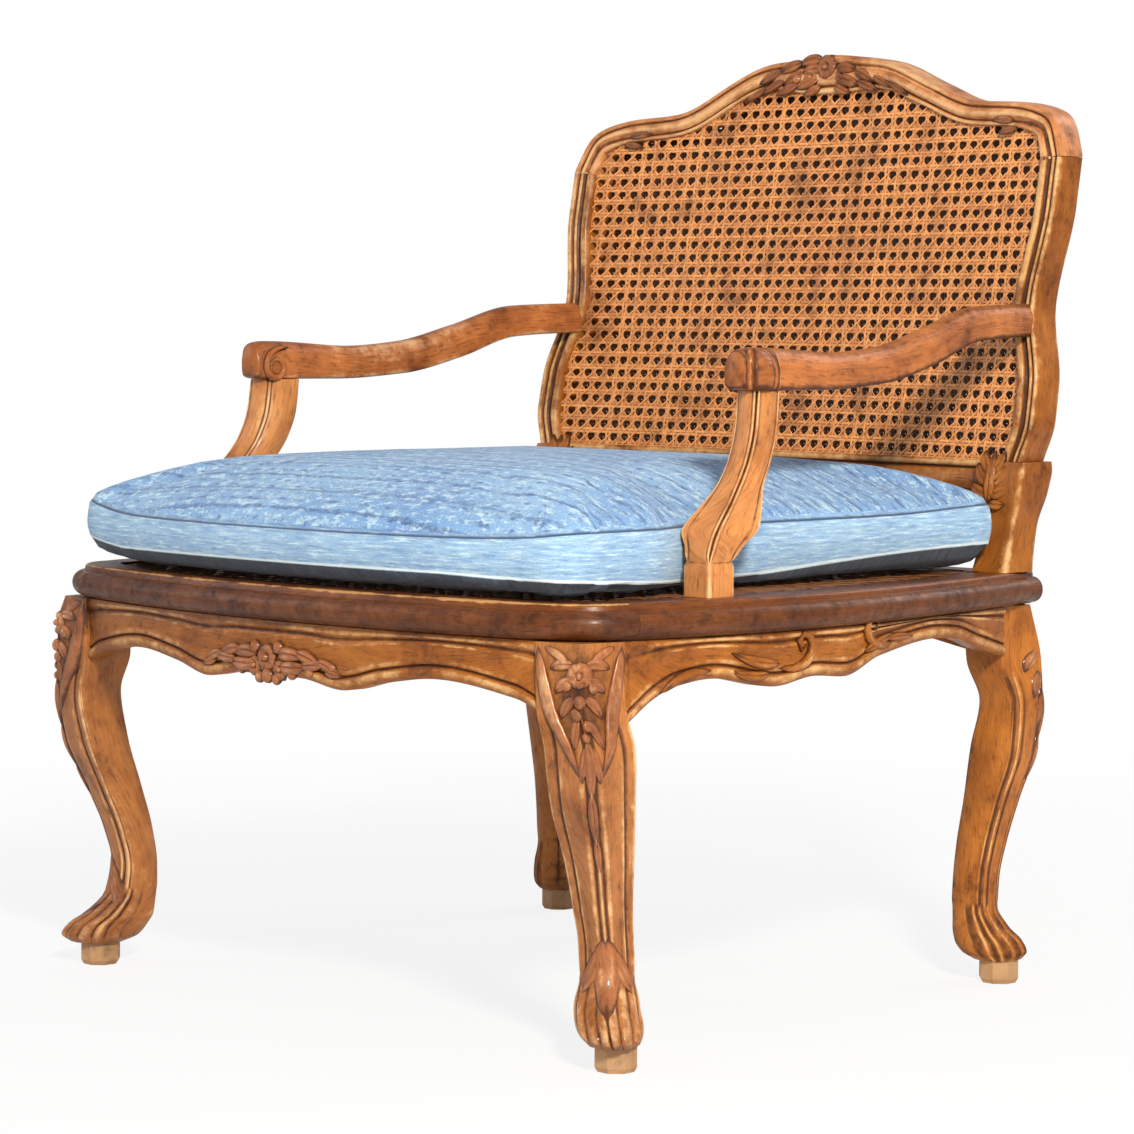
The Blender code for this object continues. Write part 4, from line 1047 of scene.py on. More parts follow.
@dataclass
class CabrioleLeg:
    """A leg by its sections up the height.

    Each row of the line is the share of the height, then the distances of the outer edge,
    the middle and the inner edge along the outward diagonal, half the width across it, and
    the drift across it. Beads are bell curves of height, place and width, where the place
    goes from 0 at the outer arris to 1 at the side arris.
    """

    end: End
    centre: Pair
    outward: Pair
    line: tuple[tuple[float, ...], ...]
    finish: Wood
    foot: float = 0.0223
    head: float = 0.364
    ridge: Beads = ((0.0016, 0.0, 0.06), (-0.0024, 0.15, 0.05), (0.0008, 0.27, 0.05))
    border: Beads = ((0.0016, 0.86, 0.07), (-0.003, 0.68, 0.05), (-0.0012, 0.5, 0.1))
    ridge_fade: Keys = ((0.0, 0.0), (0.2, 0.3), (0.45, 0.8), (0.7, 1.0), (0.82, 0.4), (1.0, 0.0))
    border_fade: Keys = ((0.0, 0.0), (0.12, 0.2), (0.2, 1.0), (0.8, 1.0), (0.93, 0.4), (1.0, 0.0))
    flute: float = 0.003
    flutes: int = 7
    flute_fade: Keys = ((0.0, 0.3), (0.03, 1.0), (0.1, 1.0), (0.15, 0.5), (0.17, 0.0), (1.0, 0.0))
    ground_width: float = 0.62
    leaf_set: float = 0.0008
    rows: int = 120
    columns: int = 168

    def axes(self) -> tuple[Array, Array]:
        """Unit vectors of a right leg: outward along the diagonal, and across it."""
        out = np.array(self.outward) / math.sqrt(2.0)
        return out, np.array([-out[1], out[0]]) * (1.0 if self.end is End.FRONT else -1.0)

    def place(self, share: Array, along: Array, across: Array) -> Array:
        """Points of the leg: its centre plus distances along its two axes, at shares of its height.

        Args:
            share: Shares of the height.
            along: Distances outward.
            across: Distances across.

        Returns:
            The points.
        """
        out, side = self.axes()
        plan = np.array(self.centre) + along[..., None] * out + across[..., None] * side
        height = self.foot + (self.head - self.foot) * share
        return np.concatenate([plan, height[..., None]], axis=-1)

    def grid(self) -> Array:
        """The leg's surface.

        Each section is a rounded diamond: cos and sin of the turn, raised to a power that
        falls from the square block to the round ankle. Down each outer face run a raised border
        with a groove beside it and a spine on the arris, and the toe is fluted.

        Returns:
            The grid.
        """
        share = np.linspace(0.0, 1.0, self.rows)
        outer, middle, inner, half, drift = eased(self.line, share)[:, :, None].transpose(1, 0, 2)
        turn = full_turn(self.columns)[None]
        reach, width = squared(turn, self.power(share))
        along = middle + reach * np.where(reach > 0.0, outer - middle, middle - inner)
        across = drift + half * width
        face = np.abs((turn + math.pi) % (2 * math.pi) - math.pi) / (math.pi / 2)
        raised = moulded(face, self.ridge) * eased(self.ridge_fade, share)
        raised = raised + moulded(face, self.border) * eased(self.border_fade, share)
        toe = eased(self.flute_fade, share)
        flutes = self.flute * np.abs(np.sin(turn * self.flutes)) * (face < 1.4)
        push = 1.0 + (raised + (flutes - 0.6 * self.flute) * toe) / np.maximum(half, 0.012)
        along = middle + (along - middle) * push
        across = drift + (across - drift) * push
        return self.place(np.broadcast_to(share[:, None], along.shape), along, across)

    def on_arris(self, across: Array, z: Array, lift: Array) -> Array:
        """Points on the leg's outer faces: the section's diamond solved for its reach.

        Args:
            across: Distances from the arris.
            z: Heights.
            lift: Distances out of the surface.

        Returns:
            The points.
        """
        share = np.clip((z - self.foot) / (self.head - self.foot), 0.0, 1.0)
        flat = eased(self.line, share.ravel()).T.reshape(5, *share.shape)
        outer, middle, _, half, drift = flat
        power = self.power(share.ravel()).reshape(share.shape)
        width = np.clip(np.abs(across) / half, 0.0, 1.0)
        reach = (1.0 - width ** (2.0 / power)) ** (power / 2.0)
        along = middle + (outer - middle) * reach + lift - self.leaf_set
        return self.place(share, along, drift + across)

    def power(self, share: Array) -> Array:
        """Power of the section's sine and cosine by the share of the height."""
        return eased(((0.0, 1.15), (0.15, 1.35), (0.6, 1.5), (0.84, 1.8), (1.0, 1.93)), share)

    def make(self) -> None:
        """Make both legs: no wear where they meet the aprons, dark ground on the front knees."""
        grid = self.grid()
        share = np.linspace(0.0, 1.0, self.rows)
        fade = eased(((0.0, 1.0), (0.78, 1.0), (0.86, 0.1), (1.0, 0.1)), share)
        dirt = eased(((0.0, 0.0), (0.62, 0.0), (0.78, 0.9), (0.95, 0.8), (1.0, 0.3)), share)
        dirt = dirt * (self.end is End.FRONT)
        face = np.linspace(0.0, 4.0, self.columns, endpoint=False)
        ground = dirt * bell(np.minimum(face, 4.0 - face), 0.0, self.ground_width)
        relief = bends(grid[None]) * fade[None] - ground[None]
        for side in Side:
            name = f"{self.end.value}_{side.word}_leg"
            skin = Skin().add(mirrored(grid, side), 0, relief)
            dressed(name, skin, self.finish, [f"leg_{self.end.value}_{side.word}"])


FRONT_LEG = CabrioleLeg(
    End.FRONT,
    (0.3395, -0.0235),
    (1.0, -1.0),
    (
        (0.0, 0.026, -0.003, -0.026, 0.022, 0.03),
        (0.02, 0.034, -0.004, -0.043, 0.026, 0.028),
        (0.05, 0.028, -0.008, -0.052, 0.028, 0.026),
        (0.09, 0.008, -0.022, -0.059, 0.027, 0.024),
        (0.15, -0.011, -0.035, -0.06, 0.023, 0.024),
        (0.23, -0.016, -0.038, -0.06, 0.023, 0.023),
        (0.33, -0.009, -0.032, -0.056, 0.025, 0.02),
        (0.45, 0.007, -0.018, -0.046, 0.029, 0.017),
        (0.6, 0.0285, -0.002, -0.033, 0.0355, 0.0115),
        (0.73, 0.0345, 0.006, -0.027, 0.038, 0.009),
        (0.845, 0.0335, 0.0, -0.0375, 0.0375, 0.001),
        (0.94, 0.0315, 0.0, -0.0375, 0.0375, 0.0),
        (1.0, 0.0255, 0.0, -0.0375, 0.0375, 0.0),
    ),
    LEG_WOOD,
)
REAR_LEG = CabrioleLeg(
    End.REAR,
    REAR_CORNER,
    (1.0, 1.0),
    (
        (0.0, 0.026, 0.003, -0.02, 0.021, -0.007),
        (0.02, 0.031, 0.0, -0.033, 0.025, -0.007),
        (0.05, 0.027, -0.004, -0.04, 0.026, -0.007),
        (0.09, 0.014, -0.012, -0.042, 0.025, -0.007),
        (0.15, 0.003, -0.019, -0.041, 0.022, -0.007),
        (0.23, 0.004, -0.018, -0.04, 0.022, -0.006),
        (0.33, 0.01, -0.013, -0.037, 0.023, -0.005),
        (0.45, 0.021, -0.004, -0.031, 0.027, -0.004),
        (0.6, 0.037, 0.009, -0.025, 0.032, -0.002),
        (0.73, 0.042, 0.011, -0.017, 0.0345, -0.001),
        (0.845, 0.0405, 0.0, -0.03, 0.0345, 0.0),
        (1.0, 0.03, 0.0, -0.0332, 0.0332, 0.0),
    ),
    LIT_REAR_WOOD,
)


# Back frame


STILE_EDGE = ((0.0, 0.331), (0.13, 0.341), (0.25, 0.34), (0.52, 0.322), (0.84, 0.333))


@dataclass
class BackFrame:
    """The raked and hollowed back: two stiles, the crest, the bottom rail and the lower stiles."""

    joint: float = 0.5
    stile_height: float = 0.29
    crest_rise: float = 0.114
    base_y: float = 0.587
    rake: float = 0.177
    hollow: float = 0.0215
    centre_x: float = 0.3155
    thick: float = 0.038
    face: float = 0.031
    crest_face: float = 0.026
    crest_centre: float = 0.044
    top_x: float = 0.333
    shoulder: float = 0.057
    left_full: float = 0.009
    rail_top: float = 0.502
    rail_height: float = 0.04
    rail_half: float = 0.293
    seat_top: float = 0.3955
    lower_lean: float = 0.02
    lower_grow: float = 0.003
    lower_shift: float = 0.002
    lower_flute: float = 0.0024
    crest_points: int = 361
    crest_rounds: int = 14

    def point(self, x: Array, z: Array, depth: Array | float) -> Array:
        """Points of the back: Y is a raked plane less a parabola across X, plus the depth."""
        front = self.base_y + self.rake * (z - self.joint) - self.hollow * (x / self.centre_x) ** 2
        return np.stack(np.broadcast_arrays(x, front + depth, z), axis=-1)

    def stile_x(self, z: Array | float) -> Array:
        """X of the right stile's outer edge: an eased curve by height."""
        share = np.clip((np.asarray(z) - self.joint) / self.stile_height, 0.0, 1.0)
        return eased((*STILE_EDGE, (1.0, self.top_x)), share)[:, 0]

    def profiles(self) -> tuple[Array, Array]:
        """Sections of a stile and of the crest: (share of the face inward, depth in metres).

        Both run from the outer side across the front to the cane and back along the rear:
        an outer bead, a groove, a fillet or a broad swell, a cove, and the inner bead.

        Returns:
            The stile's section and the crest's, point for point.
        """
        t = self.thick
        front = 0.001 * np.array([
            (0.0, 30.0), (0.0, 20.0), (0.0, 9.0), (0.3, 5.8), (1.2, 3.0), (2.8, 1.2),
            (4.6, 1.3), (6.0, 2.8), (6.9, 5.0), (8.0, 5.6), (9.0, 4.2), (9.8, 2.8),
            (11.2, 2.3), (12.4, 3.0), (13.2, 4.8), (14.8, 6.2), (17.0, 6.4), (18.6, 5.0),
            (19.4, 2.4), (21.0, 0.6), (23.4, -0.2), (25.8, 0.4), (27.4, 2.0), (28.4, 4.4),
        ])
        crest = 0.001 * np.array([
            (0.0, 30.0), (0.0, 20.0), (0.0, 9.0), (0.4, 5.0), (1.5, 2.4), (3.0, 1.1),
            (4.6, 1.2), (6.0, 2.6), (6.8, 3.2), (7.6, 3.3), (8.6, 2.4), (10.2, 1.4),
            (12.4, 0.5), (14.8, 0.1), (17.0, 0.4), (19.0, 1.3), (20.6, 2.8), (21.6, 4.4),
            (22.4, 6.2), (23.2, 6.2), (24.0, 3.6), (25.4, 2.2), (27.2, 2.4), (28.4, 4.6),
        ])
        rear = np.array([
            (0.0286, 0.008), (0.0286, t - 0.009), (0.028, t - 0.003), (0.0255, t - 0.0006),
            (0.023, t), (0.012, t), (0.0035, t), (0.0008, t - 0.0012),
        ])
        scale = np.array([1.0 / self.face, 1.0])
        return np.vstack([front, rear]) * scale, np.vstack([crest, rear]) * scale

    def crest_line(self) -> tuple[Array, Array, Array, Array]:
        """The crest's outer edge from left to right.

        An eased curve falls from the top to the shoulder and runs on into the stile. It is
        resampled, smoothed, and cut off at the joint.

        Returns:
            The points, their inward normals, the widths of the face, and the stile's share of
            the section.
        """
        drop = self.crest_rise
        span = self.top_x
        deep = self.shoulder
        keys = (
            (0.0, 0.0, 0.0),
            (0.18, span * 0.21, deep * 0.16),
            (0.36, span * 0.42, deep * 0.61),
            (0.52, span * 0.61, deep * 0.97),
            (0.66, span * 0.79, deep + 0.002),
            (0.82, span * 0.935, deep + 0.016),
            (1.0, span, drop),
        )
        level = self.joint + self.stile_height
        crest_top = level + drop
        tail_z = np.linspace(level, level - 0.05, 30)[1:]
        tail = np.stack([self.stile_x(tail_z), crest_top - tail_z], axis=1)
        half = np.vstack([eased(keys, np.linspace(0.0, 1.0, 200)), tail])
        left = half * (-1.0, 1.0)
        left[:, 1] -= self.left_full * bell(left[:, 0], -0.115, 0.05)
        line = resampled(np.vstack([left[:0:-1], half]), self.crest_points)
        for _ in range(self.crest_rounds):
            line[1:-1] = (line[:-2] + 2 * line[1:-1] + line[2:]) / 4
        outer = np.stack([line[:, 0], crest_top - line[:, 1]], axis=1)
        along = np.gradient(outer, axis=0)
        inward = unit(np.stack([along[:, 1], -along[:, 0]], axis=1))
        kept = outer[:, 1] > level
        outer, inward = outer[kept], inward[kept]
        outer[[0, -1], 1] = level + JOINT_GAP
        inward[[0, -1]] = ((1.0, 0.0), (-1.0, 0.0))
        share = np.abs(np.linspace(-1.0, 1.0, len(outer)))
        shy = self.top_x - np.abs(outer[[0, -1], 0]).mean()
        outer[:, 0] += shy * np.sign(outer[:, 0]) * share**8
        swell = bell(outer[:, 0], 0.0, span * 0.2)
        face = self.crest_face + (self.crest_centre - self.crest_face) * swell
        face = face + (self.face - self.crest_face) * share**6
        return outer, inward, face, share**4

    def ring(self, outer: Array, inward: Array, face: Array, stile_share: Array) -> Array:
        """Sections set up at outer-edge points: each goes inward by its share of the face.

        Args:
            outer: Points of the outer edge as (X, height).
            inward: Their inward directions.
            face: Widths of the face.
            stile_share: 1 for the stile's section, 0 for the crest's.

        Returns:
            The grid.
        """
        stile, crest = (rounded(section, 2) for section in self.profiles())
        mix = stile_share[:, None, None]
        section = stile[None] * mix + crest[None] * (1.0 - mix)
        flat = outer[:, None] + inward[:, None] * (section[..., :1] * face[:, None, None])
        return self.point(flat[..., 0], flat[..., 1], section[..., 1])

    def stile_grid(self) -> Array:
        """The right back stile: its section carried up the outer edge.

        Returns:
            The grid.
        """
        z = np.linspace(self.joint + JOINT_GAP, self.joint + self.stile_height - JOINT_GAP, 90)
        outer = np.stack([self.stile_x(z), z], axis=1)
        inward = np.broadcast_to((-1.0, 0.0), outer.shape)
        return self.ring(outer, inward, np.full(len(z), self.face), np.ones(len(z)))

    def bottom_grid(self) -> Array:
        """The bottom rail between the lower stiles: the crest's section, upside down.

        Returns:
            The grid.
        """
        x = np.linspace(-self.rail_half, self.rail_half, 80)
        outer = np.stack([x, np.full_like(x, self.rail_top - self.rail_height)], axis=1)
        inward = np.broadcast_to((0.0, 1.0), outer.shape)
        return self.ring(outer, inward, np.full(len(x), self.rail_height * 1.05), np.zeros(len(x)))

    def lower_grid(self) -> Array:
        """A right lower stile: a rounded square that waists and then swells under the joint.

        The side of the square follows the height; two flutes run down its front.

        Returns:
            The grid.
        """
        share = np.linspace(0.0, 1.0, 60)
        keys = (
            (0.0, 0.0195), (0.1, 0.0185), (0.42, 0.0172),
            (0.72, 0.0208), (0.9, 0.0215), (1.0, 0.0198),
        )
        half = eased(keys, share) + self.lower_grow
        x, y = squared(full_turn(96)[None], 0.28)
        fade = eased(((0.0, 0.3), (0.12, 1.0), (0.6, 1.0), (0.78, 0.0), (1.0, 0.0)), share)
        flute = moulded(x, ((self.lower_flute, -0.42, 0.17), (self.lower_flute, 0.3, 0.17)))
        rise = share[:, None]
        cx = REAR_CORNER[0] + (self.centre_x - 0.004 - REAR_CORNER[0]) * rise + self.lower_shift
        cy = REAR_CORNER[1] + self.lower_lean * rise + self.lower_shift
        z = self.seat_top + JOINT_GAP + (self.joint - self.seat_top - 0.0004) * rise
        plan_y = cy + half * y + flute * (y < -0.6) * fade
        return np.stack(np.broadcast_arrays(cx + half * x, plan_y, z), axis=-1)

    def lower_y(self, z: Array) -> Array:
        """Y of a right lower stile's middle, which leans back in proportion to the height."""
        return REAR_CORNER[1] + self.lower_lean * (z - self.seat_top) / 0.1

    def make(self) -> None:
        """Make the back's wooden pieces."""
        grid = self.ring(*self.crest_line())
        front = np.arange(grid.shape[1]) < 40
        chipped = 0.9 * bell(grid[..., 0], 0.115, 0.06) * (grid[..., 2] > 0.86) * front
        around = np.linspace(0.0, 32.0, grid.shape[1], endpoint=False)
        tone = moulded(around, ((0.3, 13.0, 3.0), (-0.5, 4.2, 2.2)))
        relief = bends(grid[None]) + chipped[None] + tone
        dressed("crest", Skin().add(grid, 0, relief), RUBBED, ["crest_rail"])
        dressed("bottom_rail", Skin().add(self.bottom_grid()), WAXED, ["back_bottom_rail"])
        for side in Side:
            stile = Skin().add(mirrored(self.stile_grid(), side))
            dressed(f"{side.word}_stile", stile, WAXED, [f"back_stile_{side.word}"])
            lower = Skin().add(mirrored(self.lower_grid(), side))
            dressed(f"{side.word}_lower_stile", lower, WAXED, [f"lower_stile_{side.word}"])


# Arms


ARM_SECTION = (
    (-0.8, 0.0), (-0.2, -0.01), (0.2, -0.01), (0.8, 0.0), (0.97, 0.06), (1.0, 0.22),
    (1.02, 0.48), (0.96, 0.6), (0.86, 0.74), (0.62, 0.92), (0.25, 1.0), (-0.25, 1.0),
    (-0.62, 0.92), (-0.86, 0.74), (-0.96, 0.6), (-1.02, 0.48), (-1.0, 0.22), (-0.97, 0.06),
)


@dataclass
class Arms:
    """The two arms and the two posts that carry them."""

    back: BackFrame
    front_x: float = 0.335
    rear_x: float = 0.3093
    bow: float = 1.6
    front_y: float = 0.168
    under: float = 0.572
    climb: float = 0.047
    width: float = 0.033
    rear_width: float = 0.026
    depth: float = 0.031
    nose: float = 0.018
    tip: float = 0.62
    inner_tip: float = 0.8
    tip_height: float = 0.74
    knuckle: float = 0.0045
    hump: float = 0.22
    post_head: Pair = (-0.003, 0.033)
    post_beads: Beads = (
        (-0.0034, 0.0, 0.09), (0.0012, 0.24, 0.1), (-0.0008, 1.02, 0.08), (0.001, 1.32, 0.16)
    )
    post_block: float = 0.016
    post_foot: Pair = (0.3507, 0.12)
    post_base_height: float = 0.03

    def arm_grid(self) -> Array:
        """The right arm.

        A section with a flat underside, upright sides and a broad rounded top, carried back
        along a path that swings in and climbs. The front end is a knuckle: the sections
        shrink along a quarter circle, less on the inner side, and the outer side swells over
        the post.

        Returns:
            The grid.
        """
        keys = (
            (0.0, self.under, self.width), (0.25, self.under, self.width),
            (0.45, self.under + self.climb * 0.14, self.width),
            (0.62, self.under + self.climb * 0.5, self.width),
            (0.8, self.under + self.climb * 0.93, self.rear_width),
            (1.0, self.under + self.climb, self.rear_width),
        )
        share = np.concatenate([np.linspace(0.0, 0.12, 40), np.linspace(0.12, 1.0, 90)[1:]])
        under, width = eased(keys, share).T[:, :, None]
        aside, tall = rounded(np.array(ARM_SECTION), 2).T[:, None]
        rear_z = self.under + self.climb + self.depth / 2
        rear = self.back.point(np.array(self.rear_x), np.array(rear_z), 0.0)
        length = float(rear[1]) - self.front_y
        run = (share * length)[:, None]
        quarter = np.sqrt(1.0 - (1.0 - np.clip(run / self.nose, 0.0, 1.0)) ** 2)
        outer, inner, height = (
            tip + (1.0 - tip) * quarter for tip in (self.tip, self.inner_tip, self.tip_height)
        )
        swell = self.knuckle * np.sqrt(np.clip(1.0 - ((run - 0.021) / 0.018) ** 2, 0.0, 1.0))
        rise = 1.0 + self.hump * bell(np.maximum(run - 0.02, 0.0), 0.0, 0.085)
        x = self.front_x + (self.rear_x - self.front_x) * share[:, None] ** self.bow
        x = x + aside * width / 2 * np.where(aside > 0.0, outer, inner)
        x = x + np.maximum(aside, 0.0) * swell
        z = under + self.depth * rise * (0.5 + (tall - 0.5) * height)
        z = z - 0.003 * bell(share, 0.6, 0.22)[:, None] * (1.0 - tall)
        y = np.broadcast_to(self.front_y + (length + 0.004) * share[:, None], x.shape)
        return self.lobed(np.stack([x, y, z], axis=2))

    def lobed(self, points: Array) -> Array:
        """The arm with two upright lobes at its front end.

        Points near the end move towards the end's middle by a bell curve of their bearing, so
        a groove runs down the outer front corner between the lobes.

        Args:
            points: The arm's grid.

        Returns:
            The grid with its lobes.
        """
        middle = np.array([self.front_x, self.front_y + 0.019])
        reach = points[..., :2] - middle
        bearing = np.arctan2(reach[..., 1], reach[..., 0])
        near = np.clip((self.front_y + 0.042 - points[..., 1]) / 0.004, 0.0, 1.0)
        groove = moulded(bearing, ((0.24, -0.8, 0.13), (0.1, 0.62, 0.1)))
        plan = middle + reach * (1.0 - groove * near)[..., None]
        return np.concatenate([plan, points[..., 2:]], axis=-1)

    def post_grid(self) -> Array:
        """The right arm post: a square foot, then a curve back and inward up to the arm.

        The section is a rounded square with a groove at its outer front corner and beads at
        the corners beside it. Its inner front and outer rear corners stand out in the flare over
        the foot and draw in above it, by a share of the product of the section's two coordinates.

        Returns:
            The grid.
        """
        foot = np.array(self.post_foot)
        head = np.array([self.front_x, self.front_y]) + np.array(self.post_head)
        line = ((0.0, 0.0), (0.18, 0.22), (0.36, 0.51), (0.6, 0.83), (0.78, 0.95), (1.0, 1.0))
        base_z = self.back.seat_top + self.post_base_height
        block = np.linspace(self.back.seat_top + JOINT_GAP, base_z - 0.003, 5)
        z = np.concatenate([block, np.linspace(base_z, self.under - JOINT_GAP, 80)])
        share = np.clip((z - base_z) / (self.under - base_z), 0.0, 1.0)
        centre = foot + (head - foot) * eased(line, share)
        above = (z >= base_z)[:, None]
        keys = (
            (0.0, 0.015, 0.015), (0.05, 0.017, 0.02), (0.16, 0.0195, 0.0245),
            (0.4, 0.018, 0.0215), (1.0, 0.0168, 0.0205),
        )
        half = np.where(above, eased(keys, share), self.post_block)
        turn = full_turn(128)[None]
        x, y = squared(turn, eased(((0.0, 0.16), (0.06, 0.34), (1.0, 0.36)), share))
        fade = eased(((0.0, 0.0), (0.05, 1.0), (1.0, 1.0)), share) * above
        away = np.abs((turn - 1.75 * math.pi + math.pi) % (2 * math.pi) - math.pi)
        push = half[:, None] + (moulded(away, self.post_beads) * fade)[..., None]
        keys = (
            (0.0, 0.06), (0.085, 0.05), (0.19, -0.23), (0.32, -0.03),
            (0.46, 0.27), (0.6, 0.32), (1.0, 0.32),
        )
        lean = 1.0 - eased(keys, share) * np.maximum(x * y, 0.0) * above
        plan_x = centre[:, :1] + push[..., 0] * x * lean
        plan_y = centre[:, 1:] + push[..., 1] * y * lean
        return np.stack(np.broadcast_arrays(plan_x, plan_y, z[:, None]), axis=-1)

    def make(self) -> None:
        """Make both arms and both posts."""
        for side in Side:
            grid = mirrored(self.arm_grid(), side)
            around = np.arange(grid.shape[1]) / grid.shape[1]
            rubbed = 0.75 * bell(grid[..., 1], 0.36, 0.075) * bell(around, 0.68, 0.16)
            arm = Skin().add(grid, 0, bends(grid[None]) + rubbed[None])
            dressed(f"{side.word}_arm", arm, ARM_WOOD, [f"arm_{side.word}"])
            post = Skin().add(mirrored(self.post_grid(), side))
            dressed(f"{side.word}_post", post, LIT_POST_WOOD, [f"arm_post_{side.word}"])


# Cane


@dataclass
class Weave:
    """A six-way weave over a flat region, set in space by a function.

    Pairs of upright and level strands, and one strand each way on the slant that cuts the
    corners of the square gaps. Strands are four-sided ribbons, cut where they leave the region.
    """

    inside: Callable[[Array, Array], Array]
    place: Callable[[Array, Array, Array], Array]
    low: Pair
    high: Pair
    pitch: Pair
    widths: Pair
    slant_width: float = 0.0024
    # The strand corner that gets painted shade.
    inner_corner: int = 1
    thick: float = 0.0008
    lift: float = 0.0007
    slant_rise: float = 0.0011
    shortest: float = 0.004

    def strands(
        self, start: Array, stop: Array, points: int, phase: Array, rise: float, width: float
    ) -> Array:
        """Ribbons along straight lines of the region.

        Args:
            start: First points of the lines, as (strand, 2).
            stop: Last points.
            points: Points along each ribbon.
            phase: Weaving phase of each strand.
            rise: Height of the strands over the panel's middle.
            width: Width of the strands.

        Returns:
            Grids as (strand, row, column, xyz).
        """
        probe = np.linspace(0.0, 1.0, 500)
        at = start[:, None] + (stop - start)[:, None] * probe[None, :, None]
        held = self.inside(at[..., 0], at[..., 1])
        first = probe[np.argmax(held, axis=1)]
        last = probe[len(probe) - 1 - np.argmax(held[:, ::-1], axis=1)]
        kept = held.any(axis=1) & (last - first > self.shortest)
        first, last, start, stop, phase = (a[kept] for a in (first, last, start, stop, phase))
        share = first[:, None] + (last - first)[:, None] * np.linspace(0.0, 1.0, points)
        flat = start[:, None] + (stop - start)[:, None] * share[..., None]
        way = unit(stop - start)
        side = np.stack([-way[:, 1], way[:, 0]], axis=1)[:, None]
        cells = flat / np.array(self.pitch)
        wave = np.cos(math.pi * (cells.sum(axis=2)) + phase[:, None])
        height = rise + self.lift * wave
        corners = np.array([(-0.5, -0.2), (0.0, -0.5), (0.5, -0.2), (0.0, 0.5)])
        spread = flat[:, :, None] + side[:, :, None] * (corners[:, :1] * width)
        tall = height[:, :, None] + corners[:, 1] * self.thick
        return self.place(spread[..., 0], spread[..., 1], tall)

    def families(self) -> list[Array]:
        """Upright pairs, level pairs and the two slants: straight lines at the pitch of the gaps.

        Returns:
            One block of grids for each family.
        """
        low, high, pitch = (np.array(v) for v in (self.low, self.high, self.pitch))
        counts = np.round((high - low) / pitch).astype(int)
        blocks = []
        for axis in (0, 1):
            other = 1 - axis
            at = low[axis] + pitch[axis] * np.arange(counts[axis] + 1)
            gap = self.widths[axis] * 0.58
            at = np.concatenate([at - gap, at + gap])
            start, stop = np.empty((2, len(at), 2))
            start[:, axis] = stop[:, axis] = at
            start[:, other] = low[other] - pitch[other]
            stop[:, other] = high[other] + pitch[other]
            phase = np.repeat([0.0, math.pi], len(at) // 2) + axis * math.pi / 2
            points = 2 * counts[other] + 3
            blocks.append(self.strands(start, stop, points, phase, 0.0, self.widths[axis]))
        steps = np.arange(-counts[1] - 1, counts[0] + 2)
        for lean in (1.0, -1.0):
            rise = counts[1] + 2
            foot = low + pitch * np.stack([steps + 0.5, np.full(len(steps), -1.0)], axis=1)
            if lean < 0:
                foot[:, 0] = low[0] + high[0] - foot[:, 0]
            head = foot + pitch * np.array([lean * rise, rise])
            still = np.zeros(len(steps))
            level = self.slant_rise * lean
            blocks.append(self.strands(foot, head, counts[1] + 6, still, level, self.slant_width))
        return blocks

    def skin(self) -> Skin:
        """All strands in one skin, with painted shade on the side that faces into the back and,
        more lightly, on the strands' edges.

        Returns:
            The skin.
        """
        skin = Skin()
        tones = ((0.0, 0.75), (0.15, 0.85), (0.5, 1.0), (0.4, 1.0))
        for seed, block in enumerate(self.families()):
            # Painted shade: a little on the side corners, none on the outer corner, and most on the
            # inner corner.
            dark = np.full(block.shape[:3], -0.22)
            dark[:, :, 4 - self.inner_corner] = 0.0
            dark[:, :, self.inner_corner] = -1.0
            skin.add(block, seed, dark, tones[seed])
        return skin


